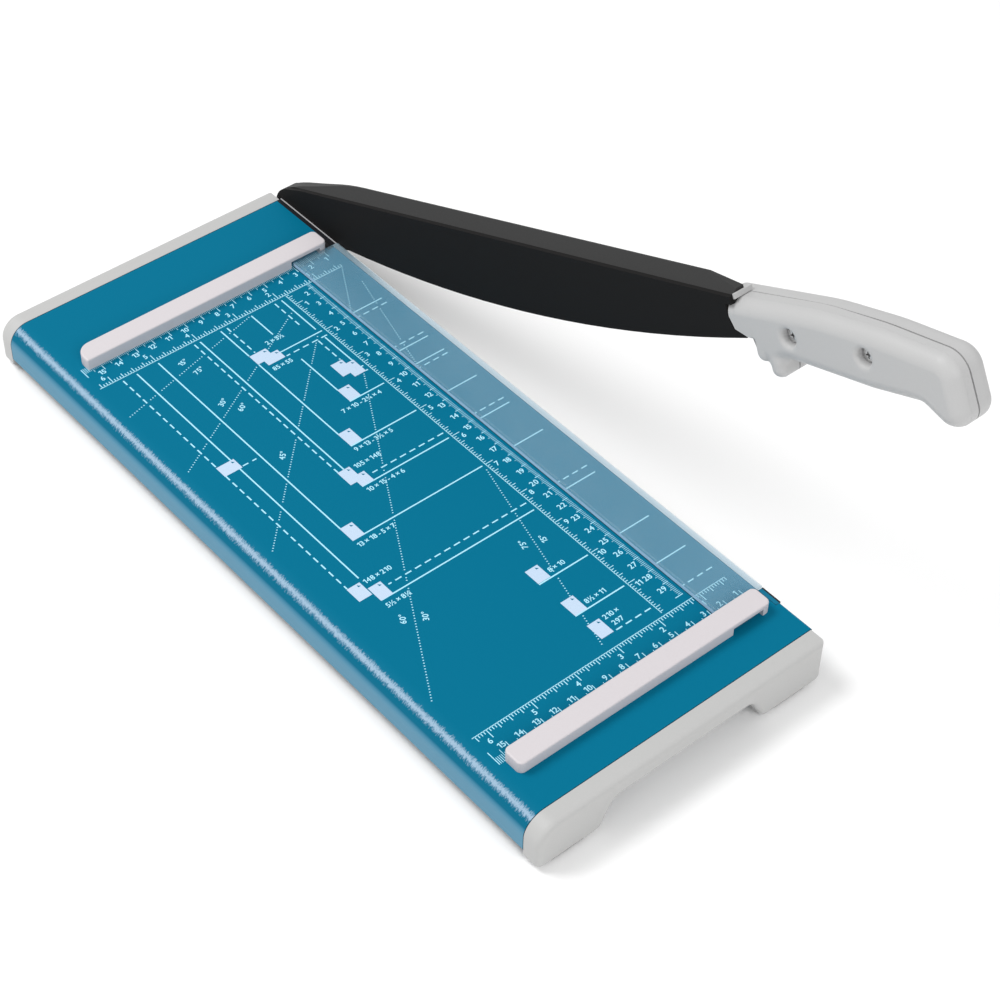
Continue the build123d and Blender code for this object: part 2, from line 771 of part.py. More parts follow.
with BuildPart() as clamp_spring:
    spring_low = -post_drop + clip_up + clip_thick + spring_seat_gap + spring_wire / 2
    spring_high = under_sheet - spring_seat_gap - spring_wire / 2
    spring_foot = level(spring_low).from_local_coords((-post_x, front_stop_middle, 0))
    with BuildLine(Plane(origin=spring_foot)):
        coil = Helix(pitch=(spring_high - spring_low) / spring_turns, height=spring_high - spring_low,
                     radius=spring_radius)
    with BuildSketch(Plane(origin=coil @ 0, z_dir=coil % 0)):
        Circle(spring_wire / 2)
    sweep(is_frenet=True)
save(clamp_spring.part, "clamp_spring")

# Pivot shaft: crank pin, flange, journal, flats for the arm and a threaded end
with BuildPart() as pivot_shaft:
    with BuildSketch(pivot_side(crank_x)):
        Circle(crank_radius)
    extrude(amount=crank_thick)
    with BuildSketch(pivot_side(crank_x + crank_thick)):
        Circle(journal_radius)
    extrude(amount=blade_gap - crank_x - crank_thick)
    with BuildSketch(pivot_side(blade_gap)):
        Circle(journal_radius)
        Rectangle(2 * hub_flat, 2 * journal_radius, mode=Mode.INTERSECT)
    extrude(amount=hub_face - blade_gap - slip_gap)
    with BuildSketch(pivot_side(hub_face - slip_gap)):
        Circle(stud_radius)
    extrude(amount=hub_washer_thick + hub_nut_thick + stud_past_nut + slip_gap)
    with BuildSketch(pivot_side(crank_x)):
        with Locations((crank_pin_y - pivot_y, crank_pin_z + pivot_drop)):
            Circle(crank_pin_radius)
    extrude(amount=-crank_pin_length)
save(pivot_shaft.part, "pivot_shaft")

# Wear washer and disc spring between the flange and the block
with BuildPart() as wear_washer:
    with BuildSketch(pivot_side(washer_x)):
        Circle(washer_radius)
        Circle(journal_radius + running_gap, mode=Mode.SUBTRACT)
    extrude(amount=washer_thick)
save(wear_washer.part, "wear_washer")

with BuildPart() as disc_spring:
    with BuildSketch(Plane(origin=pivot_side(cone_x).origin, x_dir=(1, 0, 0), z_dir=(0, -1, 0))):
        with BuildLine():
            Polyline((0, journal_radius + running_gap),
                     (cone_thick, journal_radius + running_gap),
                     (cone_height, washer_radius),
                     (cone_height - cone_thick, washer_radius),
                     close=True)
        make_face()
    revolve(axis=Axis(pivot_side(cone_x).origin, (1, 0, 0)))
save(disc_spring.part, "disc_spring")

# Hub washer and nut on the outer side of the arm
with BuildPart() as hub_washer:
    with BuildSketch(pivot_side(hub_face)):
        Circle(hub_washer_radius)
        Circle(stud_radius + slip_gap, mode=Mode.SUBTRACT)
    extrude(amount=hub_washer_thick)
save(hub_washer.part, "hub_washer")

with BuildPart() as hub_nut:
    with BuildSketch(pivot_side(hub_nut_x)):
        RegularPolygon(hub_nut_across / 2, 6, major_radius=False)
        Circle(stud_radius + slip_gap, mode=Mode.SUBTRACT)
    extrude(amount=hub_nut_thick)
save(hub_nut.part, "hub_nut")

# The limit pin seen from the arm: it travels from its closed to its open place along an arc
pin_angle_rest = -90 - open_angle
pin_angle_closed = pin_angle_rest + close_travel
pin_angle_open = pin_angle_rest - open_travel


def limit_slot():
    path = CenterArc((0, 0), limit_pin_path, pin_angle_open, pin_angle_closed - pin_angle_open)
    return SlotArc(path, 2 * (limit_pin_radius + limit_slot_gap), mode=Mode.PRIVATE)


arc_slot = limit_slot()


def hub_hole():
    hole = Circle(journal_radius + slip_gap, mode=Mode.PRIVATE)
    flats = Rectangle(2 * (hub_flat + slip_gap), 3 * journal_radius, rotation=-open_angle, mode=Mode.PRIVATE)
    add(hole & flats, mode=Mode.SUBTRACT)


# Upper blade: curved cutting edge, flat inner face
with BuildPart() as upper_blade:
    with BuildSketch(arm_side(blade_gap)):
        with BuildLine():
            top_edge = Polyline((0, hub_radius), (ridge_start_s, ridge_t), (tab_end_s, ridge_t))
            Polyline(top_edge @ 1, (tab_end_s, tab_low_t), (handle_front_s - blade_end_gap, tab_low_t),
                     (handle_front_s - blade_end_gap, notch_high), notch_low, edge_tip)
            ThreePointArc(edge_tip, edge_middle, edge_start)
            Polyline(edge_start, (0, -hub_radius), top_edge @ 0)
        make_face()
        Circle(hub_radius)
        hub_hole()
        add(arc_slot, mode=Mode.SUBTRACT)
    extrude(amount=-blade_thick)
    cutting_edge = edges().filter_by(GeomType.CIRCLE).group_by(SortBy.LENGTH)[-1].sort_by(Axis.X)[-1]
    chamfer(cutting_edge, edge_bevel)
    with Locations(*[arm_facing_right(arm_left, s, blade_screw_t) for s in blade_screw_ss]):
        Hole(blade_screw_radius + slip_gap, blade_thick - blade_screw_stop + blade_gap)
save(upper_blade.part, "upper_blade")

# Arm bar behind the blade: slanted top band, round hub, tang for the handle
with BuildPart() as arm_bar:
    with BuildSketch(arm_side(arm_left)):
        with BuildLine():
            shoulder = Spline(shoulder_start, shoulder_rise, shoulder_bend, (shoulder_end_s, arm_top),
                              tangents=[shoulder_slope, (1, 0)])
            Polyline(shoulder @ 1, (arm_straight_end, arm_top), (tab_end_s, tab_end_t), (tab_end_s, tab_low_t),
                     (arm_end_s, tab_low_t), (arm_end_s, arm_front_low_t), (arm_low_end, arm_low_t),
                     (arm_low_start, arm_low_t), hub_low, shoulder @ 0)
        make_face()
        Circle(hub_radius)
        hub_hole()
    extrude(amount=-arm_thick)
    with BuildSketch(arm_side(arm_right)):
        Circle(hub_boss_radius)
        hub_hole()
    extrude(amount=-hub_boss_height)
    # Arc slot for the limit pin
    with BuildSketch(arm_side(arm_left)):
        add(arc_slot)
    extrude(amount=-limit_slot_depth, mode=Mode.SUBTRACT)
    # Slanted band along the top
    with BuildSketch(arm_across(tab_end_s + cut_past)):
        Polygon((arm_left, ridge_t), (arm_left + band_run, arm_top), (arm_left + band_run, arm_top + cut_past),
                (arm_left - cut_past, arm_top + cut_past), (arm_left - cut_past, ridge_t), align=None)
    extrude(amount=-tab_end_s, mode=Mode.SUBTRACT)
    # Tang
    with BuildSketch(arm_side(tang_left)):
        with Locations(((arm_end_s - tang_overlap + tang_end_s) / 2, handle_screw_t)):
            Rectangle(tang_end_s - arm_end_s + tang_overlap, tang_height)
        with Locations(*[(s, handle_screw_t) for s in handle_screw_ss]):
            Circle(handle_screw_radius + slip_gap, mode=Mode.SUBTRACT)
    extrude(amount=-tang_thick)
    with Locations(*[arm_facing_right(arm_right, s, blade_screw_t) for s in blade_screw_ss]):
        CounterBoreHole(blade_screw_radius + slip_gap, blade_screw_head + slip_gap, blade_screw_sink,
                        arm_thick)
save(arm_bar.part, "arm_bar")

# Screws that hold the blade to the arm bar
with BuildPart() as blade_screws:
    screw_face = arm_right - blade_screw_sink + blade_screw_head_height
    screw_length = screw_face - blade_screw_head_height - blade_gap - blade_screw_stop
    with Locations(*[arm_facing_right(screw_face, s, blade_screw_t) for s in blade_screw_ss]):
        flat_head_screw(blade_screw_radius, screw_length, blade_screw_head, blade_screw_head_height)
save(blade_screws.part, "blade_screws")


# Handle: two moulded shells that meet on a flat seam, seen from the side
def handle_outline(front_s):
    return [(front_s, handle_front_t, 0),
            (*handle_crown, handle_line_round),
            (*handle_fall, handle_line_round),
            (*handle_butt_high, butt_high_round),
            (*handle_butt_low, butt_low_round),
            (*handle_butt_heel, butt_heel_round),
            (*handle_grip_back, grip_back_round),
            (*handle_grip_middle, handle_grip_round),
            (*handle_grip_front, handle_grip_round),
            (front_s, handle_low_front_t, 0)]


tang_middle_s = (arm_end_s + tang_end_s) / 2
tang_length = tang_end_s - arm_end_s


# The outer rim of a shell, without its edges against the arm
def rim(shell_face, front_s):
    front = arm_across(front_s)
    return [edge for edge in shell_face.edges() if front.to_local_coords(edge @ 0.5).Z > 1]


# Height of an edge's middle across the arm
def arm_level(edge):
    return arm_side(0).to_local_coords(edge @ 0.5).Y


# Guard and finger stop below the grip, from an outer face to the seam
def finger_guard(outer_x, depth):
    with BuildPart(mode=Mode.PRIVATE) as guard:
        with BuildSketch(arm_side(outer_x)):
            rounded_outline([(guard_front_s, guard_root_t, 0),
                             (guard_front_s, guard_low_t, guard_round),
                             (finger_stop_front_s, guard_low_t, 0),
                             (finger_stop_front_s, finger_stop_low_t, finger_stop_round),
                             (finger_stop_back_s, finger_stop_low_t, finger_stop_round),
                             (finger_stop_back_s, guard_root_t, 0)])
        extrude(amount=depth)
        outer_face = faces().filter_by(Axis.X).sort_by(Axis.X)[0 if depth < 0 else -1]
        lower = [edge for edge in outer_face.edges() if arm_level(edge) < guard_root_t - slip_gap]
        fillet(lower, guard_edge_round)
    return guard.part


# Room for the front end of the blade
def blade_room(front_s):
    low = finger_stop_low_t - guard_round
    Polygon((front_s - cut_past, notch_high), (handle_front_s, notch_high), notch_middle, notch_tip,
            (guard_front_s, notch_tip[1] - guard_round), (guard_front_s, low), (front_s - cut_past, low),
            align=None)


with BuildPart() as handle_left_shell:
    with BuildSketch(arm_side(handle_left)):
        rounded_outline(handle_outline(handle_front_s))
    extrude(amount=-seam_from_left)
    fillet(rim(faces().filter_by(Axis.X).sort_by(Axis.X)[0], handle_front_s), handle_edge_round)
    add(finger_guard(handle_left, -seam_from_left))
    with BuildSketch(arm_side(handle_left)):
        blade_room(handle_front_s)
    extrude(amount=-seam_from_left, mode=Mode.SUBTRACT)
    # Corner cut for the end of the arm
    with BuildSketch(arm_side(0)):
        with Locations((handle_front_s, tab_low_t - corner_cut_gap)):
            Rectangle(2 * (tab_end_s + corner_cut_gap - handle_front_s), 2 * handle_width,
                      align=(Align.CENTER, Align.MIN))
    extrude(amount=-seam_x, mode=Mode.SUBTRACT)
    # Pocket for the tang
    with BuildSketch(arm_side(seam_x)):
        with Locations((tang_middle_s, handle_screw_t)):
            Rectangle(tang_length + 2 * tang_rib_inset, tang_height + 2 * tang_gap)
    extrude(amount=seam_x - tang_left + tang_gap, mode=Mode.SUBTRACT)
    with Locations(*[arm_facing_left(handle_left, s, handle_screw_t) for s in handle_screw_ss]):
        CounterBoreHole(handle_screw_radius + slip_gap, handle_well_radius, handle_well_depth, handle_width)
save(handle_left_shell.part, "handle_left_shell")

with BuildPart() as handle_right_shell:
    with BuildSketch(arm_side(seam_x)):
        rounded_outline(handle_outline(handle_right_front))
    extrude(amount=seam_from_left - handle_width)
    fillet(rim(faces().filter_by(Axis.X).sort_by(Axis.X)[-1], handle_right_front), handle_edge_round)
    add(finger_guard(handle_right, seam_from_left))
    with BuildSketch(arm_side(seam_x)):
        blade_room(handle_right_front)
    extrude(amount=seam_from_left - handle_width, mode=Mode.SUBTRACT)
    # Rib that holds the tang in its pocket
    with BuildSketch(arm_side(seam_x)):
        with Locations((tang_middle_s, handle_screw_t)):
            Rectangle(tang_length - 2 * tang_rib_inset, tang_height - 2 * tang_rib_drop)
    extrude(amount=seam_x - arm_right - tang_gap)
    # Lip behind the end of the arm, over the left shell
    with BuildSketch(arm_across(tab_end_s + corner_cut_gap)):
        Polygon((lip_left, lip_low_t), (lip_left, lip_top_t), (lip_right, lip_top_t), (lip_right, lip_root_t),
                (seam_x, lip_root_t), (seam_x, lip_low_t), align=None)
    extrude(amount=lip_thick)
    # Screw holes and nut pockets
    with Locations(*[arm_facing_left(arm_right, s, handle_screw_t) for s in handle_screw_ss]):
        Hole(handle_screw_radius + slip_gap)
    with BuildSketch(arm_side(handle_right)):
        with Locations(*[(s, handle_screw_t) for s in handle_screw_ss]):
            RegularPolygon(handle_nut_across / 2 + handle_nut_gap, 6, major_radius=False)
    extrude(amount=handle_nut_pocket, mode=Mode.SUBTRACT)
save(handle_right_shell.part, "handle_right_shell")

# Handle screws and their nuts
with BuildPart() as handle_screws:
    screw_face = handle_left + handle_well_depth - handle_screw_head_height
    screw_length = nut_pocket_x + handle_nut_thick + handle_screw_past_nut - handle_left - handle_well_depth
    with Locations(*[arm_facing_left(screw_face, s, handle_screw_t) for s in handle_screw_ss]):
        flat_head_screw(handle_screw_radius, screw_length, handle_screw_head, handle_screw_head_height)
save(handle_screws.part, "handle_screws")

with BuildPart() as handle_nuts:
    with BuildSketch(arm_side(nut_pocket_x)):
        with Locations(*[(s, handle_screw_t) for s in handle_screw_ss]):
            RegularPolygon(handle_nut_across / 2, 6, major_radius=False)
            Circle(handle_screw_radius + slip_gap, mode=Mode.SUBTRACT)
    extrude(amount=-handle_nut_thick)
save(handle_nuts.part, "handle_nuts")
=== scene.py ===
import json
import math
import bpy
import numpy as np
from mathutils import Matrix, Vector


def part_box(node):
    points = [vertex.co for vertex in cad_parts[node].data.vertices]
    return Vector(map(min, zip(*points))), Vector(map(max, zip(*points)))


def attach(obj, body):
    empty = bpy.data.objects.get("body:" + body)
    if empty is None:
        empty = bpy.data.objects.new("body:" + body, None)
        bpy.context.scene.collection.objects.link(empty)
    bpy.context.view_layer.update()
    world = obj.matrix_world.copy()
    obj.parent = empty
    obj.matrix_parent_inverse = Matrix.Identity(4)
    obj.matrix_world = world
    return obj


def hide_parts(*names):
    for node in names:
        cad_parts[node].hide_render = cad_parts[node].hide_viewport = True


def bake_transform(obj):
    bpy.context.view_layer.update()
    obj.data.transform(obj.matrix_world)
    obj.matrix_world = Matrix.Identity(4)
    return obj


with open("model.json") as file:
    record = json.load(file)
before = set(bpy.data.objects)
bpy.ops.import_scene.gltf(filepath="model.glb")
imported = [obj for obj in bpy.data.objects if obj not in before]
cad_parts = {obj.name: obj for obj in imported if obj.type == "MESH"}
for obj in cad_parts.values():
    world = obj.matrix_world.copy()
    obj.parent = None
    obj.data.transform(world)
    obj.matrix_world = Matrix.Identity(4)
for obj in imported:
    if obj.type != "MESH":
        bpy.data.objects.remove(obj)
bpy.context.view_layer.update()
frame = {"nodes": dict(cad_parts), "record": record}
print("frame loaded")

# Measuring point in metres: x on the cutting line, y on the back stop's inner face, z on the deck
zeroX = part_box("bed_knife")[1].x
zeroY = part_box("back_stop")[0].y
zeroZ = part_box("deck_plate")[1].z
mm = 0.001


def place(points):
    # a point in millimetres from the measuring point -> a point of the frame in metres
    return np.asarray(points, float) * mm + np.array((zeroX, zeroY, zeroZ))


def addMesh(name, verts, faces, material, body, smoothAngle=None):
    # piece with its place in its mesh; without a body it is left free
    mesh = bpy.data.meshes.new(name)
    mesh.from_pydata(verts, [], faces)
    mesh.validate()
    mesh.update()
    mesh.materials.append(material)
    if smoothAngle:
        mesh.polygons.foreach_set("use_smooth", [True] * len(mesh.polygons))
        mesh.set_sharp_from_angle(angle=math.radians(smoothAngle))
    piece = bpy.data.objects.new(name, mesh)
    bpy.context.scene.collection.objects.link(piece)
    if body:
        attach(piece, body)
    return piece


def bridge(outer, inner):
    # quads between two closed rings of point numbers, or between two stacks of such rings
    following = (np.roll(inner, -1, -1), np.roll(outer, -1, -1))
    return np.stack((outer, inner, *following), -1).reshape(-1, 4)


def smoothStep(value, low, high):
    # 0 at low, 1 at high, with level ends: 3 u^2 - 2 u^3
    share = np.clip((value - low) / (high - low), 0, 1)
    return share * share * (3 - 2 * share)


# Materials
grainDepth = 0.2 * mm


def newMaterial(name):
    # material with its node tree and its shader
    material = bpy.data.materials.new(name)
    material.use_nodes = True
    tree = material.node_tree
    return material, tree, tree.nodes["Principled BSDF"]


def setShader(shader, roughness, specular, metallic=0.0):
    # plain numbers of the shader; colour and the rest are linked by the caller
    shader.inputs["Roughness"].default_value = roughness
    shader.inputs["Specular IOR Level"].default_value = specular
    shader.inputs["Metallic"].default_value = metallic


def addNoise(tree, scale, detail=3, shape=(1.0, 1.0, 1.0)):
    # a share below one in shape draws the grains out along that axis
    coords = tree.nodes.new("ShaderNodeTexCoord")
    mapping = tree.nodes.new("ShaderNodeMapping")
    mapping.inputs["Scale"].default_value = shape
    noise = tree.nodes.new("ShaderNodeTexNoise")
    noise.inputs["Scale"].default_value = scale
    noise.inputs["Detail"].default_value = detail
    tree.links.new(coords.outputs["Object"], mapping.inputs["Vector"])
    tree.links.new(mapping.outputs["Vector"], noise.inputs["Vector"])
    return noise.outputs["Fac"]


def addBump(tree, shader, height, strength):
    # the surface leans as if the height moved it by up to the grain depth
    bump = tree.nodes.new("ShaderNodeBump")
    bump.inputs["Strength"].default_value = strength
    bump.inputs["Distance"].default_value = grainDepth
    tree.links.new(height, bump.inputs["Height"])
    tree.links.new(bump.outputs["Normal"], shader.inputs["Normal"])


def mixColours(tree, factor, first, second):
    # each colour is a triple of numbers or the output of another node
    mix = tree.nodes.new("ShaderNodeMix")
    mix.data_type = "RGBA"
    tree.links.new(factor, mix.inputs["Factor"])
    for socket, colour in (("A", first), ("B", second)):
        if isinstance(colour, tuple):
            mix.inputs[socket].default_value = (*colour, 1)
        else:
            tree.links.new(colour, mix.inputs[socket])
    return mix.outputs["Result"]


def calculate(tree, operation, first, second):
    # each value is a number or the output of another node
    step = tree.nodes.new("ShaderNodeMath")
    step.operation = operation
    for index, value in enumerate((first, second)):
        if isinstance(value, (int, float)):
            step.inputs[index].default_value = value
        else:
            tree.links.new(value, step.inputs[index])
    return step.outputs[0]


def above(tree, value, limit):
    # one where the value is above the limit, else zero
    return calculate(tree, "GREATER_THAN", value, limit)


def below(tree, value, limit):
    # one where the value is below the limit, else zero
    return calculate(tree, "LESS_THAN", value, limit)


def both(tree, first, second):
    # product of two values, so one where both are one
    return calculate(tree, "MULTIPLY", first, second)


def either(tree, first, second):
    # larger of two values, so one where either is one
    return calculate(tree, "MAXIMUM", first, second)


def component(tree, vector, axis):
    # X, Y or Z of a vector
    split = tree.nodes.new("ShaderNodeSeparateXYZ")
    tree.links.new(vector, split.inputs[0])
    return split.outputs[axis]


def facing(tree, axis):
    # how far the surface faces along X, Y or Z, from -1 to 1
    return component(tree, tree.nodes.new("ShaderNodeNewGeometry").outputs["Normal"], axis)


def placeAlong(tree, axis):
    # place on the object along X, Y or Z, in metres of the frame
    return component(tree, tree.nodes.new("ShaderNodeTexCoord").outputs["Object"], axis)


def grained(name, base, roughness, speckle, scale, bump, metallic, specular):
    # base colour with a faint noise in colour and height
    material, tree, shader = newMaterial(name)
    noise = addNoise(tree, scale)
    darker = tuple(c * (1 - speckle) for c in base)
    lighter = tuple(min(1, c * (1 + speckle)) for c in base)
    tree.links.new(mixColours(tree, noise, darker, lighter), shader.inputs["Base Color"])
    if bump > 0:
        addBump(tree, shader, noise, bump)
    setShader(shader, roughness, specular, metallic)
    return material


# name: base colour, roughness, speckle, noise scale, bump, metallic, specular
grainedLooks = {
    "capGrey": ((0.485, 0.485, 0.48), 0.5, 0.03, 2500, 0.12, 0.0, 0.3),
    "stopGrey": ((0.625, 0.59, 0.61), 0.5, 0.03, 2500, 0.12, 0.0, 0.3),
    "handleGrey": ((0.48, 0.48, 0.48), 0.45, 0.035, 2200, 0.12, 0.0, 0.3),
    "bladeBlack": ((0.0135, 0.013, 0.013), 0.6, 0.12, 1200, 0.05, 0.0, 0.04),
    "armBlack": ((0.030, 0.030, 0.030), 0.55, 0.10, 1200, 0.05, 0.0, 0.15),
    "plainSteel": ((0.45, 0.455, 0.46), 0.38, 0.06, 900, 0.05, 1.0, 0.5),
    "screwSteel": ((0.50, 0.50, 0.50), 0.32, 0.05, 900, 0.05, 1.0, 0.5),
    "handleScrew": ((0.58, 0.58, 0.58), 0.3, 0.5, 2500, 0.5, 0.9, 0.5),
    "railBlack": ((0.012, 0.012, 0.014), 0.5, 0.1, 900, 0.08, 0.0, 0.3),
    "blockIron": ((0.09, 0.09, 0.095), 0.6, 0.15, 700, 0.3, 0.8, 0.5),
    "bushBrass": ((0.55, 0.38, 0.14), 0.35, 0.06, 900, 0.05, 1.0, 0.5),
    "padRubber": ((0.02, 0.02, 0.02), 0.8, 0.2, 1500, 0.3, 0.0, 0.5),
    "springSteel": ((0.3, 0.3, 0.31), 0.3, 0.05, 900, 0.05, 1.0, 0.5),
    "printWhite": ((0.42, 0.80, 0.95), 0.5, 0.03, 900, 0.0, 0.0, 0.05),
    "labelWhite": ((0.53, 0.66, 0.82), 0.5, 0.05, 1500, 0.0, 0.0, 0.05),
}
paints = {name: grained(name, *look) for name, look in grainedLooks.items()}

deckLook = {
    # tones by how far the sheet leans to the left: a painted highlight as a pale band on the bend, and a
    # painted reflection, paler, on the flange below
    "paintedSheenTones": [(0.0, (0.0013, 0.152, 0.262)), (0.38, (0.0015, 0.150, 0.258)), (0.46, (0.18, 0.32, 0.44)),
              (0.52, (0.31, 0.45, 0.58)), (0.60, (0.31, 0.45, 0.58)), (0.66, (0.12, 0.25, 0.37)),
              (0.73, (0.003, 0.135, 0.230)), (0.89, (0.006, 0.140, 0.240)), (0.95, (0.07, 0.24, 0.36)),
              (1.0, (0.13, 0.30, 0.42))],
    "grain": (1700, 2, (0.4, 1.0, 0.4)), "grainReach": 0.36, "bend": (0.02, 0.76),
    # painted shade along both ends of the sheet, in the gaps at the caps
    "endGapShadeWidth": 0.4, "endGapShadeTone": (0.004, 0.030, 0.050), "roughness": 0.5, "specular": 0.03,
}


def deckPaint():
    # sheet paint with a painted highlight as a pale grainy band where the bend turns to the left, a painted
    # reflection paler on the flange, and painted shade in the gaps at both ends
    material, tree, shader = newMaterial("deckBlue")
    lean = calculate(tree, "MULTIPLY", facing(tree, "X"), -1.0)
    grain = calculate(tree, "SUBTRACT", addNoise(tree, *deckLook["grain"]), 0.5)
    shift = calculate(tree, "MULTIPLY", grain, deckLook["grainReach"])
    low, high = deckLook["bend"]
    onBend = both(tree, above(tree, lean, low), below(tree, lean, high))
    ramp = tree.nodes.new("ShaderNodeValToRGB")
    stops = ramp.color_ramp.elements
    paintedSheenTones = deckLook["paintedSheenTones"]
    for stop, (position, tone) in zip(stops, (paintedSheenTones[0], paintedSheenTones[-1])):
        stop.position, stop.color = position, (*tone, 1)
    for position, tone in paintedSheenTones[1:-1]:
        stops.new(position).color = (*tone, 1)
    # the grain roughens the edges of the painted highlight band on the bend
    tree.links.new(calculate(tree, "ADD", lean, both(tree, shift, onBend)), ramp.inputs["Fac"])
    frontEnd, backEnd = (corner.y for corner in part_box("deck_plate"))
    y = placeAlong(tree, "Y")
    # painted shade in a narrow strip at each end of the sheet, where it meets the caps
    inEndGapShade = either(tree, below(tree, y, frontEnd + deckLook["endGapShadeWidth"] * mm),
                    above(tree, y, backEnd - deckLook["endGapShadeWidth"] * mm))
    painted = mixColours(tree, inEndGapShade, ramp.outputs["Color"], deckLook["endGapShadeTone"])
    tree.links.new(painted, shader.inputs["Base Color"])
    setShader(shader, deckLook["roughness"], deckLook["specular"])
    return material


knifeLook = {
    "frontEnd": -319.5, "backEnd": 2.0, "ground": (0.60, 0.66, 0.70), "side": (0.03, 0.031, 0.033),
    "front": (0.0013, 0.152, 0.262), "frontGapShade": (0.010, 0.012, 0.014), "frontGapShadeX": -0.9,
    # behind the back stop: painted shadow and reflection of the arm, with a light line along the cutting edge
    "back": (0.014, 0.015, 0.018), "backEdge": (0.42, 0.42, 0.43), "backEdgeX": -0.75,
    "topFacing": 0.6, "metallic": 0.85, "roughness": 0.35, "specular": 0.15, "grainScale": 800, "bump": 0.05,
}


def knifePaint():
    # ground steel on top, dark sides; the end past the front stop is painted like the sheet, with painted
    # shade as a dark line along its right edge; behind the back stop the top is painted dark as painted
    # shadow and reflection of the arm, with a light line along the edge
    material, tree, shader = newMaterial("knifeSteel")
    look = knifeLook
    x, y = placeAlong(tree, "X"), placeAlong(tree, "Y")
    top = above(tree, facing(tree, "Z"), look["topFacing"])
    beforeStop = below(tree, y, zeroY + look["frontEnd"] * mm)
    behindStop = above(tree, y, zeroY + look["backEnd"] * mm)
    # painted shade: a dark line along the right edge of the knife's front end
    frontGapShade = above(tree, x, zeroX + look["frontGapShadeX"] * mm)
    backEdge = above(tree, x, zeroX + look["backEdgeX"] * mm)
    front = mixColours(tree, frontGapShade, look["front"], look["frontGapShade"])
    # behind the back stop the top is painted dark, a painted shadow and reflection of the arm
    back = mixColours(tree, backEdge, look["back"], look["backEdge"])
    upper = mixColours(tree, behindStop, mixColours(tree, beforeStop, look["ground"], front), back)
    tree.links.new(mixColours(tree, top, look["side"], upper), shader.inputs["Base Color"])
    bare = calculate(tree, "SUBTRACT", calculate(tree, "SUBTRACT", top, beforeStop), behindStop)
    metal = calculate(tree, "MULTIPLY", either(tree, bare, 0.0), look["metallic"])
    setShader(shader, look["roughness"], look["specular"])
    tree.links.new(metal, shader.inputs["Metallic"])
    addBump(tree, shader, addNoise(tree, look["grainScale"]), look["bump"])
    return material


clearLook = {
    "plain": (0.42, 0.66, 0.80), "left": (0.50, 0.68, 0.86), "leftGapShadow": (0.006, 0.045, 0.075),
    "outer": (0.66, 0.80, 0.86), "leftX": -29.6, "rightX": -5.0, "gapShadowTop": 1.4, "sideFacing": 0.5,
    "sideCover": 0.85, "veil": 0.12, "cloud": 0.05, "cloudScale": (60, 2), "roughness": 0.2, "specular": 0.3,
}


def clearPlastic():
    # slightly milky strip whose outer sides and left side are painted lighter, a painted highlight; the left
    # side stands on a line of painted shadow
    material, tree, shader = newMaterial("clearPlastic")
    look = clearLook
    x, facingX = placeAlong(tree, "X"), facing(tree, "X")
    # the left side face is painted lighter, a painted highlight
    leftSide = both(tree, below(tree, facingX, -look["sideFacing"]),
                    below(tree, x, zeroX + look["leftX"] * mm))
    rightSide = both(tree, above(tree, facingX, look["sideFacing"]),
                     above(tree, x, zeroX + look["rightX"] * mm))
    # the sides facing right and backwards are painted lighter still, a painted highlight
    outer = either(tree, rightSide, above(tree, facing(tree, "Y"), look["sideFacing"]))
    # painted shadow: the lowest part of the left side, near the deck, is dark as the gap's shadow
    foot = below(tree, placeAlong(tree, "Z"), zeroZ + look["gapShadowTop"] * mm)
    leftTone = mixColours(tree, foot, look["left"], look["leftGapShadow"])
    inner = mixColours(tree, leftSide, look["plain"], leftTone)
    tree.links.new(mixColours(tree, outer, inner, look["outer"]), shader.inputs["Base Color"])
    cloud = calculate(tree, "MULTIPLY", addNoise(tree, *look["cloudScale"]), look["cloud"])
    veil = calculate(tree, "ADD", cloud, look["veil"])
    sides = calculate(tree, "MULTIPLY", either(tree, outer, leftSide), look["sideCover"])
    tree.links.new(either(tree, sides, veil), shader.inputs["Alpha"])
    setShader(shader, look["roughness"], look["specular"])
    return material


paints["deckBlue"] = deckPaint()
paints["knifeSteel"] = knifePaint()
paints["clearPlastic"] = clearPlastic()

slotPaints = {
    "deck_blue": "deckBlue", "light_grey": "capGrey", "pad_rubber": "padRubber", "plain_steel": "plainSteel",
    "screw_steel": "screwSteel", "rail_black": "railBlack", "knife_steel": "knifeSteel",
    "block_iron": "blockIron", "bush_brass": "bushBrass", "blade_black": "bladeBlack",
    "arm_black": "armBlack", "clear_strip": "clearPlastic", "spring_steel": "springSteel",
}
nodePaints = {
    "front_stop": "stopGrey", "back_stop": "stopGrey", "handle_right_shell": "handleGrey",
    "handle_screws": "handleScrew",
}
for part in frame["record"]["subparts"]:
    node = frame["nodes"][part["node"]]
    node.data.materials.clear()
    node.data.materials.append(paints[nodePaints.get(part["node"], slotPaints[part["material_slot"]])])
print("materials set")

# Left handle shell, measured in the arm's own frame: x to the right, s along the arm, t across it
pivot = {"y": 39.0, "z": -7.0, "raised": math.radians(22.9)}


def placeOnArm(x, s, t):
    # the arm's s and t turned by the raised angle about the pivot, then placed in the frame
    c, q = math.cos(pivot["raised"]), math.sin(pivot["raised"])
    return place(np.stack((x, pivot["y"] - s * c + t * q, pivot["z"] + s * q + t * c), -1))


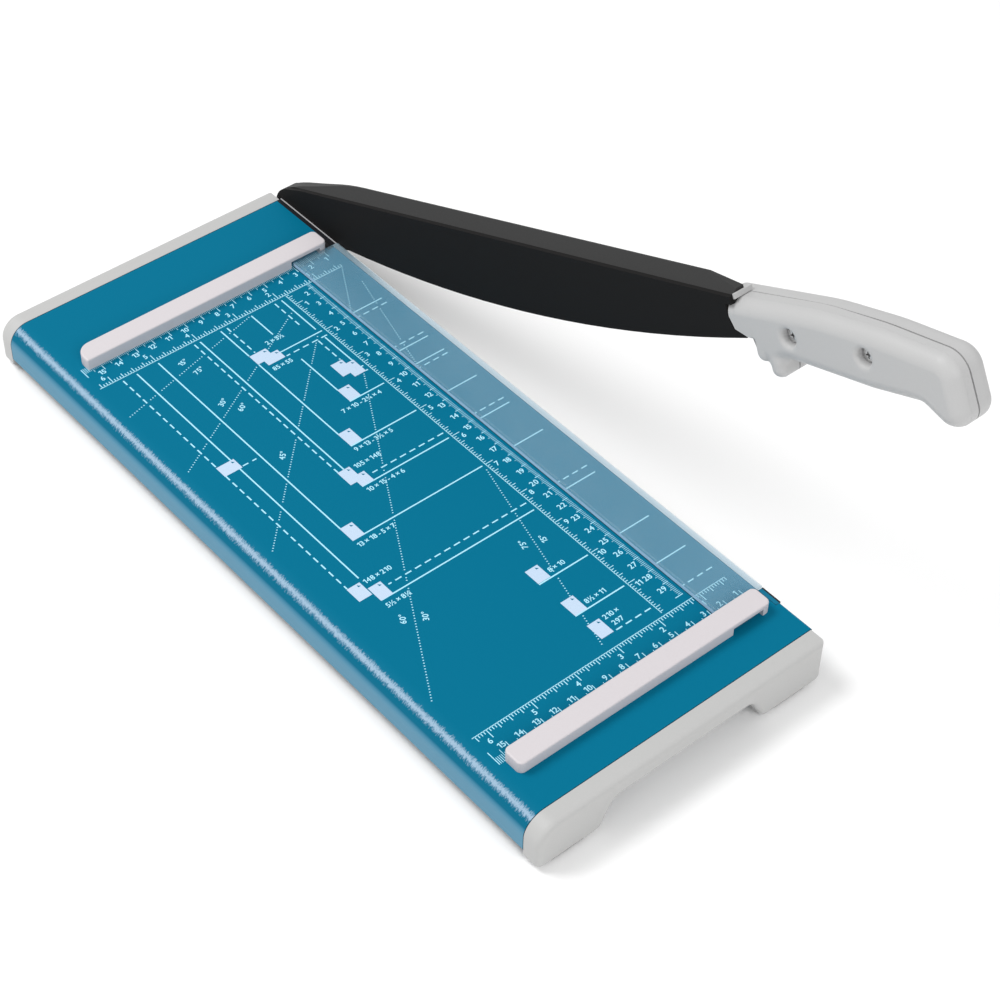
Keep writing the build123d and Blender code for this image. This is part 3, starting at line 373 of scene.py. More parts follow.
def roundedPath(corners, step, arcPoints):
    # straight runs joined by arcs of each corner's radius, as evenly spaced points
    points = [np.array(corners[0][:2], float)]
    for before, here, after in zip(corners, corners[1:], corners[2:]):
        corner, radius = np.array(here[:2], float), here[2]
        back = np.array(before[:2]) - corner
        ahead = np.array(after[:2]) - corner
        back /= np.linalg.norm(back)
        ahead /= np.linalg.norm(ahead)
        half = math.acos(back @ ahead) / 2
        middle = (back + ahead) / np.linalg.norm(back + ahead)
        centre = corner + middle * radius / math.sin(half)
        start = corner + back * radius / math.tan(half) - centre
        end = corner + ahead * radius / math.tan(half) - centre
        first = math.atan2(start[1], start[0])
        turn = math.remainder(math.atan2(end[1], end[0]) - first, math.tau)
        angle = first + turn * np.linspace(0, 1, arcPoints)
        points.extend(centre + radius * np.stack((np.cos(angle), np.sin(angle)), 1))
    points = np.array(points + [np.array(corners[-1][:2], float)])
    length = np.r_[0, np.cumsum(np.linalg.norm(np.diff(points, axis=0), axis=1))]
    even = np.linspace(0, length[-1], int(length[-1] / step))
    return np.stack((np.interp(even, length, points[:, 0]), np.interp(even, length, points[:, 1])), 1)


shell = {
    "left": 0.3, "deep": 11.0, "topStart": (354.1, 14.5),
    # corners of the side view: s, t and radius
    "outline": [(330.0, 15.36, 0), (403.0, 19.4, 150), (438.0, 17.6, 150), (477.6, 12.4, 11),
                (480.6, -18.9, 8), (468.5, -18.9, 8), (457.5, -10.9, 6), (430.0, -10.9, 60),
                (394.0, -8.3, 60), (330.0, -3.73, 0)],
    "outlineStep": 0.05, "arcPoints": 40, "gripEnd": 410.0,
    "bladeRoom": [(350.6, 9.0), (353.0, 3.2), (360.4, 0.8), (363.4, 0.6)],
    # blocks that join the grip smoothly: lowest and highest corner, corner radius and reach of the join
    "guard": {"low": (363.4, -10.3), "high": (373.0, 8.0), "corner": 4.5, "join": 1.5},
    "stop": {"low": (369.4, -17.0), "high": (377.9, 4.0), "corner": 4.2, "join": 5.5},
    # region and step of the search for their border; past outlinePast the outline itself is the border,
    # and up to lowEnd each column's lowest t is searched in steps of lowStep
    "joined": {"s": (362.0, 396.0), "t": (-19.0, 0.0), "step": 0.07, "outlinePast": 395.9,
               "lowEnd": 388.0, "lowStep": 0.1},
    "guardFace": {"lowest": -7.6, "step": 0.05, "points": 150},
    # rounding of the outer face, and where it grows from the guard's to the grip's
    "edgeRound": 7.0, "guardRound": 2.0, "stopRound": 4.2, "leastInside": 0.05,
    "wideS": (365.0, 370.0), "wideT": (3.0, 8.0), "stopT": (5.0, 10.0), "stopS": (381.0, 392.0),
    # screw wells: places, then distance from the middle and depth
    "wells": [(386.0, 5.2), (430.0, 5.2)],
    "wellSteps": [(0, 6.0), (3.4, 6.0), (3.6, 5.6), (3.8, 2.4), (4.05, 1.4), (4.4, 0.75), (4.9, 0.32),
                  (5.5, 0.1), (6.4, 0.0)],
    # groove along the seam: width at the front, more of it along the grip and below the finger stop
    "grooveDepth": 0.9, "grooveReach": 0.4, "grooveWidths": (0.12, 0.75, 0.5),
    "grooveGrows": (396.0, 450.0), "grooveStop": (380.0, -11.0),
    # columns of the grid: first s, last s and step, then single ones and the round end
    "runs": [(350.6, 363.2, 0.4), (363.6, 394.0, 0.22), (394.0, 422.0, 0.5), (422.0, 438.0, 0.25),
             (438.0, 470.0, 0.5)],
    "single": [354.06, 354.14, 363.3, 363.42], "endColumns": 60, "endGap": 0.01,
    "rows": 150, "sharp": 40,
}
outlinePath = roundedPath(shell["outline"], shell["outlineStep"], shell["arcPoints"])
furthest = int(np.argmax(outlinePath[:, 0]))
upperPath, lowerPath = outlinePath[:furthest + 1], outlinePath[furthest:][::-1]
gripPath = lowerPath[lowerPath[:, 0] < shell["gripEnd"]]


def distanceTo(path, s, t):
    # least squared distance of each grid point: its own square and the path point's, less twice their product
    centre = path.mean(0)
    way = path - centre
    square = (way * way).sum(1)
    nearest = np.empty(np.atleast_2d(s).shape)
    for row, (rowS, rowT) in enumerate(zip(np.atleast_2d(s), np.atleast_2d(t))):
        points = np.stack((rowS, rowT), 1) - centre
        nearest[row] = (square - 2 * points @ way.T).min(1) + (points * points).sum(1)
    return np.sqrt(np.maximum(nearest, 0)).reshape(s.shape)


def smoothJoin(first, second, reach):
    # larger of two distances, rounded over where they are close
    overlap = np.maximum(reach - np.abs(first - second), 0) / reach
    return np.maximum(first, second) + overlap * overlap * reach / 4


def insideBlock(s, t, block):
    # distance inside a block with rounded corners, less than zero outside
    low, high, corner = np.array(block["low"]), np.array(block["high"]), block["corner"]
    centre, half = (low + high) / 2, (high - low) / 2 - corner
    outS, outT = np.abs(s - centre[0]) - half[0], np.abs(t - centre[1]) - half[1]
    outside = np.hypot(np.maximum(outS, 0), np.maximum(outT, 0))
    return corner - outside - np.minimum(np.maximum(outS, outT), 0)


def insideShell(s, t):
    # distance inside the side view of the shell: grip, finger stop and guard joined smoothly
    near = distanceTo(gripPath, s, t)
    high = np.interp(s, upperPath[:, 0], upperPath[:, 1])
    low = np.interp(s, lowerPath[:, 0], lowerPath[:, 1])
    level = np.where((t < high) & (t > low), near, -near)
    for block in (shell["stop"], shell["guard"]):
        level = smoothJoin(level, insideBlock(s, t, block), block["join"])
    return level


def borderPoints():
    # outline away from the joined blocks, the guard's front face, and where the joined distance changes sign
    joined, guardFront = shell["joined"], shell["guard"]["low"][0]
    s, t = np.meshgrid(np.arange(*joined["s"], joined["step"]), np.arange(*joined["t"], joined["step"]),
                       indexing="ij")
    level = insideShell(s, t)
    grid = np.stack((s, t), -1)
    kept = (outlinePath[:, 0] > joined["outlinePast"]) | (outlinePath[:, 1] > joined["t"][1])
    face = shell["guardFace"]
    faceT = face["lowest"] + face["step"] * np.arange(face["points"])
    points = [outlinePath[kept], np.stack((np.full(face["points"], guardFront), faceT), 1)]
    for first, second, a, b in ((level[:-1], level[1:], grid[:-1], grid[1:]),
                                (level[:, :-1], level[:, 1:], grid[:, :-1], grid[:, 1:])):
        crossed = (first * second < 0) & (a[..., 0] > guardFront)
        share = (first[crossed] / (first[crossed] - second[crossed]))[:, None]
        points.append(a[crossed] + (b[crossed] - a[crossed]) * share)
    return np.concatenate(points)


def shellColumns():
    # s of each column of the grid, closer together where the side view curves
    last, end = shell["runs"][-1][1], outlinePath[furthest, 0] - shell["endGap"]
    roundEnd = last + (end - last) * np.sin(np.linspace(0, math.pi / 2, shell["endColumns"]))
    runs = [np.arange(*run) for run in shell["runs"]]
    return np.unique(np.concatenate(runs + [shell["single"], roundEnd]))


def shellEnds(columns):
    # lowest and highest t of each column
    high = np.interp(columns, upperPath[:, 0], upperPath[:, 1])
    high[columns < shell["topStart"][0]] = shell["topStart"][1]
    low = np.interp(columns, lowerPath[:, 0], lowerPath[:, 1])
    room, joined, guardFront = np.array(shell["bladeRoom"]), shell["joined"], shell["guard"]["low"][0]
    ahead = columns < guardFront
    low[ahead] = np.interp(columns[ahead], room[:, 0], room[:, 1])
    levels = np.arange(*joined["t"], joined["lowStep"])
    for index in np.flatnonzero((columns > guardFront) & (columns < joined["lowEnd"])):
        depth = insideShell(np.full(levels.shape, columns[index]), levels)
        first = int(np.argmax(depth >= 0))
        share = -depth[first - 1] / (depth[first] - depth[first - 1])
        low[index] = levels[first - 1] + joined["lowStep"] * share
    return low, high


def shellDepth(s, t):
    # depth below the outer face: a quarter circle from the border inwards, or a well where it is deeper
    inside = np.maximum(distanceTo(borderPoints(), s, t), shell["leastInside"])
    wide = np.maximum(smoothStep(s, *shell["wideS"]), smoothStep(t, *shell["wideT"]))
    stopShare = smoothStep(-t, *shell["stopT"]) * (1 - smoothStep(s, *shell["stopS"]))
    full = shell["edgeRound"] - (shell["edgeRound"] - shell["stopRound"]) * stopShare
    radius = shell["guardRound"] + (full - shell["guardRound"]) * wide
    reach = radius - np.minimum(inside, radius)
    depth = radius - np.sqrt(radius * radius - reach * reach)
    steps = np.array(shell["wellSteps"])
    for wellS, wellT in shell["wells"]:
        depth = np.maximum(depth, np.interp(np.hypot(s - wellS, t - wellT), steps[:, 0], steps[:, 1]))
    return depth


def seamRings(rimS, rimT):
    # from the rim back to the groove, square inwards by the groove's depth, and on to the seam: s, t and x
    gap = np.hypot(np.roll(rimS, -1) - rimS, np.roll(rimT, -1) - rimT)
    length = np.r_[0, np.cumsum(gap)]
    loopS, loopT = np.r_[rimS, rimS[0]], np.r_[rimT, rimT[0]]
    ahead = (length[:-1] + shell["grooveReach"]) % length[-1]
    behind = (length[:-1] - shell["grooveReach"]) % length[-1]
    wayS = np.interp(ahead, length, loopS) - np.interp(behind, length, loopS)
    wayT = np.interp(ahead, length, loopT) - np.interp(behind, length, loopT)
    size = np.hypot(wayS, wayT) / shell["grooveDepth"]
    innerS, innerT = rimS - wayT / size, rimT + wayS / size
    atFront, onGrip, atStop = shell["grooveWidths"]
    stopS, stopT = shell["grooveStop"]
    wide = atFront + onGrip * smoothStep(rimS, *shell["grooveGrows"])
    wide = wide + atStop * ((rimT < stopT) & (rimS < stopS))
    seam = np.full(len(rimS), shell["left"] + shell["deep"])
    return [(rimS, rimT, seam - wide), (innerS, innerT, seam - wide), (innerS, innerT, seam)]


def makeShell():
    # outer face as a grid over s and t at its depth, closed by rings along the seam and a flat back
    columns = shellColumns()
    low, high = shellEnds(columns)
    spread = (1 - np.cos(np.linspace(0, math.pi, shell["rows"] + 1))) / 2
    s = np.repeat(columns[:, None], len(spread), 1)
    t = low[:, None] + (high - low)[:, None] * spread[None, :]
    number = np.arange(s.size).reshape(s.shape)
    squares = np.stack((number[:-1, :-1], number[1:, :-1], number[1:, 1:], number[:-1, 1:]), -1)
    faces = [squares.reshape(-1, 4)]
    verts = [placeOnArm(shell["left"] + shellDepth(s, t).ravel(), s.ravel(), t.ravel())]
    outer = np.concatenate((number[:-1, 0], number[-1, :-1], number[:0:-1, -1], number[0, :0:-1]))
    total = s.size
    for ringS, ringT, ringX in seamRings(s.ravel()[outer], t.ravel()[outer]):
        inner = total + np.arange(len(ringS))
        verts.append(placeOnArm(ringX, ringS, ringT))
        faces.append(bridge(outer, inner))
        outer = inner
        total += len(ringS)
    allFaces = np.concatenate(faces).tolist() + [outer[::-1].tolist()]
    piece = addMesh("handleShell", np.concatenate(verts), allFaces, paints["handleGrey"], "arm",
                    shell["sharp"])
    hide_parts("handle_left_shell")


makeShell()
print("handle shell made")

# Handle screws, deep in their wells: domed face with a cross recess, head and shank
screw = {
    "face": 3.5, "headRadius": 3.3, "headBack": 6.1, "shankRadius": 1.95, "dome": 0.35,
    "recess": 1.5, "lobe": (0.75, 1.2), "lobePower": 8, "recessWall": (0.9, 1.12),
    "firstRadius": 0.12, "rings": 24, "steps": 64, "sharp": 35,
}


def makeScrews():
    # radius and x of each ring, turned about each well's middle; the recess ends at the radius of its lobes
    farEnd = (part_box("handle_screws")[1].x - zeroX) / mm
    turn = np.arange(screw["steps"]) * math.tau / screw["steps"]
    base, reach = screw["lobe"]
    lobes = base + reach * np.cos(2 * turn) ** screw["lobePower"]
    faceRadius = np.linspace(screw["firstRadius"], screw["headRadius"], screw["rings"])[:, None]
    sunk = 1 - smoothStep(faceRadius / lobes, *screw["recessWall"])
    faceX = screw["face"] + screw["dome"] * (faceRadius / screw["headRadius"]) ** 2 + screw["recess"] * sunk
    flat = np.ones((1, screw["steps"]))
    radius = np.concatenate((faceRadius * flat, flat * screw["headRadius"], flat * screw["shankRadius"],
                             flat * screw["shankRadius"]))
    x = np.concatenate((faceX, flat * screw["headBack"], flat * screw["headBack"], flat * farEnd))
    verts, faces = [], []
    for index, (wellS, wellT) in enumerate(shell["wells"]):
        number = index * x.size + np.arange(x.size).reshape(x.shape)
        points = placeOnArm(x, wellS + radius * np.cos(turn), wellT + radius * np.sin(turn))
        verts.append(points.reshape(-1, 3))
        faces += bridge(number[:-1], number[1:]).tolist()
        faces += [number[0].tolist(), number[-1, ::-1].tolist()]
    piece = addMesh("handleScrewPair", np.concatenate(verts), faces, paints["handleScrew"], "arm",
                    screw["sharp"])
    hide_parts("handle_screws")


makeScrews()
print("handle screws made")

# Clamp spring: a coil with its foot at the clamp's post and its head under the sheet, left without a body
spring = {"wireRadius": 0.25, "turns": 6, "stepsPerTurn": 40, "sides": 12, "sharp": 50}


def makeSpring():
    # a circle carried along a helix: centre (r cos a, r sin a, rise a), circle square to the way it goes
    low, high = (np.array(corner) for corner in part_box("clamp_spring"))
    wire = spring["wireRadius"] * mm
    middle = (low + high) / 2
    reach = (high[0] - low[0]) / 2 - wire
    foot, head = low[2] + wire, high[2] - wire
    angle = np.linspace(0, spring["turns"] * math.tau, spring["turns"] * spring["stepsPerTurn"] + 1)
    rise = (head - foot) / angle[-1]
    level = 0 * angle
    outward = np.stack((np.cos(angle), np.sin(angle), level), 1)
    centre = reach * outward + np.stack((level + middle[0], level + middle[1], foot + rise * angle), 1)
    along = np.stack((-reach * np.sin(angle), reach * np.cos(angle), level + rise), 1)
    along /= np.linalg.norm(along, axis=1)[:, None]
    across = np.cross(along, outward)
    around = np.arange(spring["sides"]) * math.tau / spring["sides"]
    ring = outward[:, None] * np.cos(around)[:, None] + across[:, None] * np.sin(around)[:, None]
    verts = (centre[:, None] + wire * ring).reshape(-1, 3)
    number = np.arange(len(verts)).reshape(len(angle), -1)
    faces = bridge(number[1:], number[:-1]).tolist() + [number[0, ::-1].tolist(), number[-1].tolist()]
    piece = addMesh("clampSpring", verts, faces, paints["springSteel"], None, spring["sharp"])
    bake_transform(piece)
    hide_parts("clamp_spring")


makeSpring()
print("clamp spring made")

# Printed scales, lines and numbers on the deck, in millimetres from the measuring point
ink = {
    "lift": 0.03, "shift": 1.1, "clampShift": 0.95,
    # widths of the strokes; every tenth tick is wider by a little
    "line": 0.74, "thin": 0.42, "tick": 0.32, "tenth": 0.14, "dot": 0.66,
    # heights of the numbers, and dash and gap with the shortest dash
    "number": 3.15, "angle": 3.0, "label": 2.9, "dash": (3.6, 2.2), "shortest": 0.2,
}
strokes = []


def addStroke(x0, y0, x1, y1, width):
    # both ends and the width; all strokes are turned into quads at once
    strokes.append((x0, y0, x1, y1, width))


def addDashes(x0, y0, x1, y1, dash=ink["dash"]):
    # strokes of one length with gaps of another; a short rest at the end is left out
    length = math.hypot(x1 - x0, y1 - y0)
    wayX, wayY = (x1 - x0) / length, (y1 - y0) / length
    start = 0.0
    while start < length:
        end = min(start + dash[0], length)
        if end - start > ink["shortest"]:
            addStroke(x0 + wayX * start, y0 + wayY * start, x0 + wayX * end, y0 + wayY * end, ink["line"])
        start += sum(dash)


def addLine(x0, y0, x1, y1, dashed):
    # one format line, dashed or plain
    if dashed:
        addDashes(x0, y0, x1, y1)
    else:
        addStroke(x0, y0, x1, y1, ink["line"])


def tickEnd(k, ends):
    # the end whose step is the largest that divides k
    return next(end for step, end in ends.items() if k % step == 0)


inch = 25.4
inchTicks = {16: 5.2, 8: 3.3, 4: 3.2, 2: 2.0, 1: 1.9}
numbers = []

# Cross rulers at both stops: centimetres along the stop, sixteenths of an inch on a line beside it
crossRulers = [
    {"first": 10, "base": 2.6, "ticks": {10: -4.5, 5: -2.8, 1: -1.3},
     "number": -5.3, "inch": -15.2, "way": 1},
    {"first": 8, "base": -322.0, "ticks": {10: -313.7, 5: -315.6, 1: -317.9},
     "number": -314.1, "inch": -303.5, "way": -1},
]
crossEnds = {"last": 160, "lastNumber": 15, "sixteenths": (6, 100), "lastInch": 6,
             "line": (-160.3, -9.5), "numberX": -2.5, "inchNumberY": 5.8}
for ruler in crossRulers:
    for k in range(ruler["first"], crossEnds["last"] + 1):
        width = ink["tick"] + (ink["tenth"] if k % 10 == 0 else 0)
        addStroke(-k, ruler["base"], -k, tickEnd(k, ruler["ticks"]), width)
    for k in range(1, crossEnds["lastNumber"] + 1):
        numbers.append((str(k), -10 * k + crossEnds["numberX"], ruler["number"], 0, ink["number"]))
    first, last = crossEnds["sixteenths"]
    for k in range(first, last + 1):
        x = -inch * k / 16
        tip = ruler["inch"] + ruler["way"] * tickEnd(k, inchTicks)
        addStroke(x, ruler["inch"], x, tip, ink["tick"] + ink["tenth"])
    left, right = crossEnds["line"]
    addStroke(left, ruler["inch"], right, ruler["inch"], ink["thin"])
    for k in range(1, crossEnds["lastInch"] + 1):
        y = ruler["inch"] + ruler["way"] * crossEnds["inchNumberY"]
        numbers.append((str(k), -inch * k + crossEnds["numberX"], y, 0, ink["number"]))

# Long rulers beside the clamp: millimetres to 30 cm, and sixteenths of an inch
longRuler = {"x": -31.1, "first": 16, "last": 300, "ticks": {5: 3.2, 1: 2.2}, "lastTick": 4.6,
             "finer": 0.05, "numbers": (2, 29), "numberX": -36.9, "numberY": -2.3}
for k in range(longRuler["first"], longRuler["last"] + 1):
    y = -k + ink["shift"]
    size = longRuler["lastTick"] if k == longRuler["last"] else tickEnd(k, longRuler["ticks"])
    width = ink["tick"] + (ink["tenth"] if k % 10 == 0 else -longRuler["finer"])
    addStroke(longRuler["x"], y, longRuler["x"] - size, y, width)
first, last = longRuler["numbers"]
for k in range(first, last + 1):
    y = -10 * k + ink["shift"] + longRuler["numberY"]
    numbers.append((str(k), longRuler["numberX"], y, 0, ink["number"]))
inchRuler = {"x": -46.7, "line": (-15.9, -301.6), "sixteenths": (11, 190), "tickShare": 0.88,
             "heavier": 0.1, "lastInch": 11, "numberX": -41.8, "wideNumberX": -42.2, "numberY": -3.0}
addStroke(inchRuler["x"], inchRuler["line"][0], inchRuler["x"], inchRuler["line"][1], ink["thin"])
first, last = inchRuler["sixteenths"]
for k in range(first, last + 1):
    y = -inch * k / 16 + ink["shift"]
    tip = inchRuler["x"] + inchRuler["tickShare"] * tickEnd(k, inchTicks)
    addStroke(inchRuler["x"], y, tip, y, ink["tick"] + inchRuler["heavier"])
for k in range(1, inchRuler["lastInch"] + 1):
    x = inchRuler["numberX"] if k < 10 else inchRuler["wideNumberX"]
    numbers.append((str(k), x, -inch * k + ink["shift"] + inchRuler["numberY"], 0, ink["number"]))
print("rulers drawn")

# Format lines along the deck: x, dashed or not, and the spans
top = -17.4
columns = [
    (-148.1, True, [(top, -199.5)]), (-139.9, False, [(top, -197.5)]), (-127.1, False, [(top, -167.0)]),
    (-105.1, True, [(top, -136.5)]), (-101.6, False, [(top, -136.5)]),
    (-88.8, False, [(top, -41.8), (-50.0, -115.4)]), (-84.9, True, [(top, -41.5)]),
    (-69.7, False, [(top, -36.0), (-60.0, -90.2)]), (-54.8, True, [(top, -40.4), (-54.4, -72.8)]),
    (-50.5, False, [(top, -46.6), (-54.4, -77.0)]),
]
for x, dashed, spans in columns:
    for y0, y1 in spans:
        addLine(x, y0, x, y1, dashed)

# Format lines across the deck, also under the clamp: distance from the back stop, left end, dashed or not
rows = [
    (50.4, -75.2, False), (54.6, -74.0, True), (84.6, -53.4, True), (88.4, -49.9, False),
    (101.4, -70.0, False), (127.0, -89.1, False), (148.0, -92.3, True), (152.4, -101.9, False),
    (177.8, -127.4, False), (210.2, -131.6, True), (216.0, -140.4, False), (254.2, -78.4, False),
    (279.4, -78.4, False), (297.3, -69.6, True),
]
rowEnds = {"right": -48.6, "clamp": (-28.0, -9.2)}
for distance, left, dashed in rows:
    y = -distance + ink["shift"]
    clampY = y + ink["clampShift"]
    clampLeft, clampRight = rowEnds["clamp"]
    if dashed:
        # the first dash starts at the right end
        addDashes(rowEnds["right"], y, left, y)
        addDashes(clampRight, clampY, clampLeft, clampY)
    else:
        addStroke(left, y, rowEnds["right"], y, ink["line"])
        addStroke(clampLeft, clampY, clampRight, clampY, ink["line"])
shortLines = [(-137.6, -104.0, -129.6, -104.0, (3.2, 2.4)), (-9.5, -102.6, -28.0, -102.6, ink["dash"])]
for shortLine in shortLines:
    addDashes(*shortLine)
print("format lines drawn")

# Dotted angle lines from the corner: degrees, left and right end
rays = [(15, -160.3, -71.0), (30, -160.3, -50.8), (45, -160.3, -51.0), (60, -160.3, -51.5),
        (75, -80.9, -48.6), (60, -27.5, -9.0), (75, -27.5, -9.0)]
rayLook = {"pitch": 1.7, "dotShare": 0.32, "rise": 1.6, "lowest": -300, "clear": 1.3}
heavy = np.array([stroke for stroke in strokes if stroke[4] >= ink["line"]])
heavyStart, heavyEnd = heavy[:, 0:2], heavy[:, 2:4]


def clearOfLines(x, y):
    # true where no heavy line passes nearer than the clear margin
    along = heavyEnd - heavyStart
    offset = np.array((x, y)) - heavyStart
    share = np.clip((offset * along).sum(1) / (along * along).sum(1), 0, 1)
    return np.hypot(*(offset - along * share[:, None]).T).min() > rayLook["clear"]


for angle, left, right in rays:
    slope = math.tan(math.radians(angle))
    step = rayLook["pitch"] * math.cos(math.radians(angle))
    dot = step * rayLook["dotShare"]
    for x in np.arange(left, right, step):
        y = slope * x + rayLook["rise"]
        if y > rayLook["lowest"] and clearOfLines(x, y):
            addStroke(x, y, x + dot, y + slope * dot, ink["dot"])

# Numbers of the angles: text, middle and turn; numbers of the paper sizes: text and lower left corner
angleNumbers = [
    ("15°", -117.4, -24.7, 15), ("75°", -114.6, -34.5, 15), ("30°", -119.0, -61.2, 30),
    ("60°", -113.6, -70.0, 30), ("45°", -118.6, -110.2, 45), ("60°", -140.0, -230.0, 60),
    ("30°", -130.9, -235.0, 60), ("75°", -67.5, -229.0, 75), ("15°", -57.8, -232.1, 75),
]
numbers += [(*entry, ink["angle"]) for entry in angleNumbers]
labels = [
    ("2 × 3½", -76.6, -39.4), ("85 × 55", -85.2, -57.3), ("7 × 10 - 2¾ × 4", -77.4, -103.9),
    ("9 × 13 - 3½ × 5", -89.2, -129.1), ("105 × 148", -96.6, -138.4), ("10 × 15 - 4 × 6", -101.6, -154.9),
    ("13 × 18 - 5 × 7", -127.4, -180.8), ("148 × 210", -139.6, -201.0), ("5½ × 8½", -140.6, -219.1),
    ("8 × 10", -69.2, -249.0), ("8½ × 11", -69.2, -274.4), ("210 ×", -69.2, -287.0),
    ("297", -68.2, -292.2),
]
font = {"scale": 1.38, "resolution": 3, "thicken": 0.07, "gap": 0.11, "space": 0.26, "drop": 1.4}
oneShape = [(0.30, 0), (0.49, 0), (0.49, 1), (0.32, 1), (0.0, 0.80), (0.08, 0.66), (0.30, 0.79)]
characters = {}


def fontCharacter(character, size):
    # outline of one character as flat faces, measured in millimetres
    curve = bpy.data.curves.new("digit", "FONT")
    curve.body = character
    curve.size = size * font["scale"]
    curve.resolution_u = font["resolution"]
    curve.offset = font["thicken"]
    carrier = bpy.data.objects.new("digit", curve)
    bpy.context.scene.collection.objects.link(carrier)
    shaped = carrier.evaluated_get(bpy.context.evaluated_depsgraph_get())
    mesh = bpy.data.meshes.new_from_object(shaped)
    verts = np.empty(3 * len(mesh.vertices))
    mesh.vertices.foreach_get("co", verts)
    faces = [tuple(p.vertices) for p in mesh.polygons]
    bpy.data.objects.remove(carrier)
    bpy.data.curves.remove(curve)
    bpy.data.meshes.remove(mesh)
    return verts.reshape(-1, 3)[:, :2], faces


def characterMesh(character, size):
    # as the font has it, but the digit one is drawn with a flag, as tall as the digit four
    if (character, size) not in characters:
        if character == "1":
            tall = fontCharacter("4", size)[0][:, 1].max()
            characters[character, size] = np.array(oneShape) * tall, [tuple(range(len(oneShape)))]
        else:
            characters[character, size] = fontCharacter(character, size)
    return characters[character, size]


def numberMesh(text, size):
    # characters set side by side from the left
    allVerts, allFaces = [], []
    pen = 0.0
    for character in text:
        if character == " ":
            pen += font["space"] * size
            continue
        verts, faces = characterMesh(character, size)
        start = sum(len(v) for v in allVerts)
        allVerts.append(verts + np.array((pen - verts[:, 0].min(), 0)))
        allFaces += [tuple(start + i for i in face) for face in faces]
        pen += np.ptp(verts[:, 0]) + font["gap"] * size
    return np.concatenate(allVerts), allFaces


printVerts, printFaces = [], []


def addFlat(points, faces):
    # flat points join the print, their faces numbered on from the points so far
    start = sum(len(v) for v in printVerts)
    printVerts.append(points)
    printFaces.extend([tuple(start + i for i in face) for face in faces])


def strokeCorners():
    # four corners of each stroke: both ends, half the width to each side
    table = np.array(strokes)
    start, end, width = table[:, 0:2], table[:, 2:4], table[:, 4:5]
    way = (end - start) / np.linalg.norm(end - start, axis=1)[:, None]
    side = np.stack((-way[:, 1], way[:, 0]), 1) * width / 2
    return np.stack((start + side, start - side, end - side, end + side), 1).reshape(-1, 2)


corners = strokeCorners()
addFlat(corners, np.arange(len(corners)).reshape(-1, 4).tolist())
for text, x, y, turn, size in numbers:
    verts, faces = numberMesh(text, size)
    middle = (verts.min(0) + verts.max(0)) / 2
    c, s = math.cos(math.radians(turn)), math.sin(math.radians(turn))
    addFlat((verts - middle) @ np.array([[c, s], [-s, c]]) + np.array((x, y)), faces)
for text, x, y in labels:
    verts, faces = numberMesh(text, ink["label"])
    addFlat(verts + np.array((x - verts[:, 0].min(), y - font["drop"])), faces)
flatPoints = np.concatenate(printVerts)
printPoints = np.column_stack((flatPoints, np.full(len(flatPoints), ink["lift"])))
addMesh("deckPrint", place(printPoints), printFaces, paints["printWhite"], "base")
print("print made", len(printFaces))

# Small page signs, light with a folded corner: x, y, width and height
pages = np.array([
    (-148.6, -209.4, 7.4, 9.7), (-140.6, -215.0, 7.2, 9.8), (-127.4, -177.0, 7.2, 10.1),
    (-105.6, -147.2, 7.2, 10.6), (-101.9, -151.3, 7.2, 8.0), (-89.1, -125.6, 7.2, 10.3),
    (-69.9, -100.0, 7.0, 10.0), (-61.5, -83.8, 7.2, 10.6), (-56.9, -87.5, 7.0, 10.6),
    (-78.4, -252.6, 7.5, 9.7), (-78.4, -278.1, 7.5, 10.3), (-78.4, -296.2, 7.3, 10.2),
    (-148.6, -104.7, 10.3, 7.5), (-89.0, -49.8, 10.0, 7.6), (-85.2, -53.7, 10.3, 7.0),
])
pageLook = {"lift": 0.01, "layer": 0.004, "layers": 3, "fold": (0.7, 2.2)}


def makePages():
    # one quad for each page and one triangle for its fold; pages that overlap lie on layers of their own
    x, y, w, h = pages.T
    lift = ink["lift"] + pageLook["lift"] + pageLook["layer"] * (np.arange(len(pages)) % pageLook["layers"])
    sheet = np.stack((np.stack((x, x + w, x + w, x), 1), np.stack((y, y, y + h, y + h), 1),
                      np.repeat(lift[:, None], 4, 1)), -1)
    near, far = pageLook["fold"]
    fold = np.stack((np.stack((x + w - far, x + w - far, x + w - near), 1),
                     np.stack((y + h - near, y + h - far, y + h - far), 1),
                     np.repeat(lift[:, None] + pageLook["lift"], 3, 1)), -1)
    for name, points, paint in (("pageSigns", sheet, "labelWhite"), ("pageFolds", fold, "deckBlue")):
        count = points.shape[0] * points.shape[1]
        faces = np.arange(count).reshape(points.shape[:2]).tolist()
        addMesh(name, place(points.reshape(-1, 3)), faces, paints[paint], "base")


makePages()
print("page signs made")

# Floor, backdrop and light
stage = {"floorHalf": 6.0, "floorTone": (0.99, 0.99, 0.99, 1), "floorRoughness": 0.9,
         "floorSpecular": 0.1, "lighting": 0.53, "seen": 1.0}
floorMesh = bpy.data.meshes.new("floor")
half = stage["floorHalf"]
floorCorners = [(-half, -half, 0), (half, -half, 0), (half, half, 0), (-half, half, 0)]
floorMesh.from_pydata(floorCorners, [], [(0, 1, 2, 3)])
floor = bpy.data.objects.new("floor", floorMesh)
bpy.context.scene.collection.objects.link(floor)
floorMaterial, floorTree, floorShader = newMaterial("floorWhite")
floorShader.inputs["Base Color"].default_value = stage["floorTone"]
setShader(floorShader, stage["floorRoughness"], stage["floorSpecular"])
floorMesh.materials.append(floorMaterial)

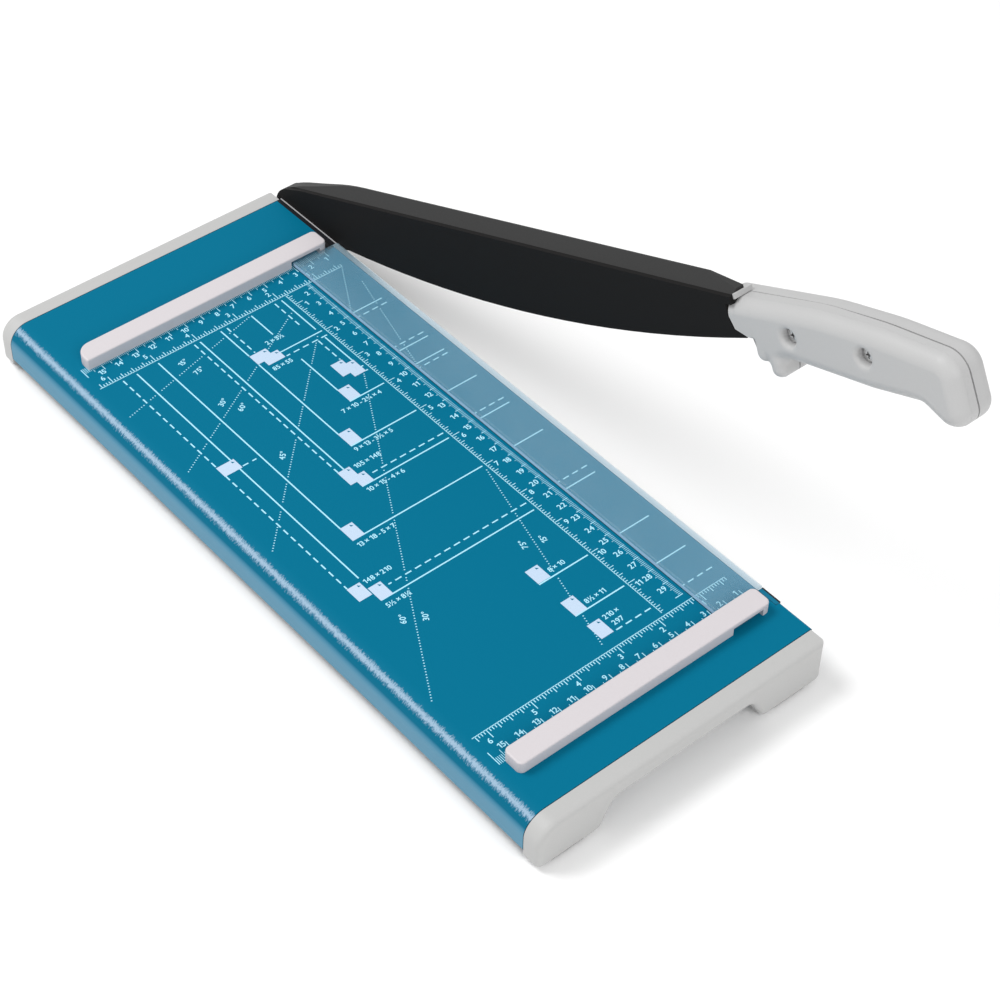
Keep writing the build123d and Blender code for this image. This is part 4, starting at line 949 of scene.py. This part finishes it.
# White where the world is seen or mirrored, weaker where it only lights
world = bpy.data.worlds.new("studio")
bpy.context.scene.world = world
world.use_nodes = True
worldTree = world.node_tree
backdrop = worldTree.nodes["Background"]
backdrop.inputs["Color"].default_value = (1, 1, 1, 1)
rayKind = worldTree.nodes.new("ShaderNodeLightPath").outputs
mirrored = either(worldTree, rayKind["Is Glossy Ray"], rayKind["Is Transmission Ray"])
strength = worldTree.nodes.new("ShaderNodeMapRange")
worldTree.links.new(either(worldTree, rayKind["Is Camera Ray"], mirrored), strength.inputs["Value"])
strength.inputs["To Min"].default_value = stage["lighting"]
strength.inputs["To Max"].default_value = stage["seen"]
worldTree.links.new(strength.outputs["Result"], backdrop.inputs["Strength"])

lampTarget = (0, 0, 0.05)
lamps = {
    "keyLight": {"place": (-0.75, 0.95, 1.85), "side": 1.1, "power": 29},
    "frontLight": {"place": (-0.3, -1.6, 1.3), "side": 1.2, "power": 15},
}
for name, lamp in lamps.items():
    light = bpy.data.lights.new(name, "AREA")
    light.size = lamp["side"]
    light.energy = lamp["power"]
    carrier = bpy.data.objects.new(name, light)
    bpy.context.scene.collection.objects.link(carrier)
    turn = (Vector(lampTarget) - Vector(lamp["place"])).to_track_quat("-Z", "Y").to_matrix().to_4x4()
    carrier.matrix_world = Matrix.Translation(lamp["place"]) @ turn
print("stage set")

# Camera, fitted to the printed rulers: millimetres from the measuring point, focal length in pixels
cameraFit = {"eye": (-590.94, -814.49, 816.56), "right": (0.76453, -0.64442, 0.01488),
             "forward": (0.46309, 0.53306, -0.70809), "focal": 2430.88, "pixels": 1000, "sensor": 36}
cameraData = bpy.data.cameras.new("camera")
cameraData.sensor_width = cameraFit["sensor"]
cameraData.lens = cameraFit["focal"] / cameraFit["pixels"] * cameraFit["sensor"]
camera = bpy.data.objects.new("camera", cameraData)
bpy.context.scene.collection.objects.link(camera)
right = np.array(cameraFit["right"]) / np.linalg.norm(cameraFit["right"])
forward = np.array(cameraFit["forward"])
forward -= right * (forward @ right)
forward /= np.linalg.norm(forward)
sides = np.stack((right, np.cross(right, forward), -forward, place(cameraFit["eye"])), 1)
camera.matrix_world = Matrix(sides.tolist() + [[0, 0, 0, 1]])
bpy.context.scene.camera = camera
bpy.context.scene.view_settings.view_transform = "Standard"
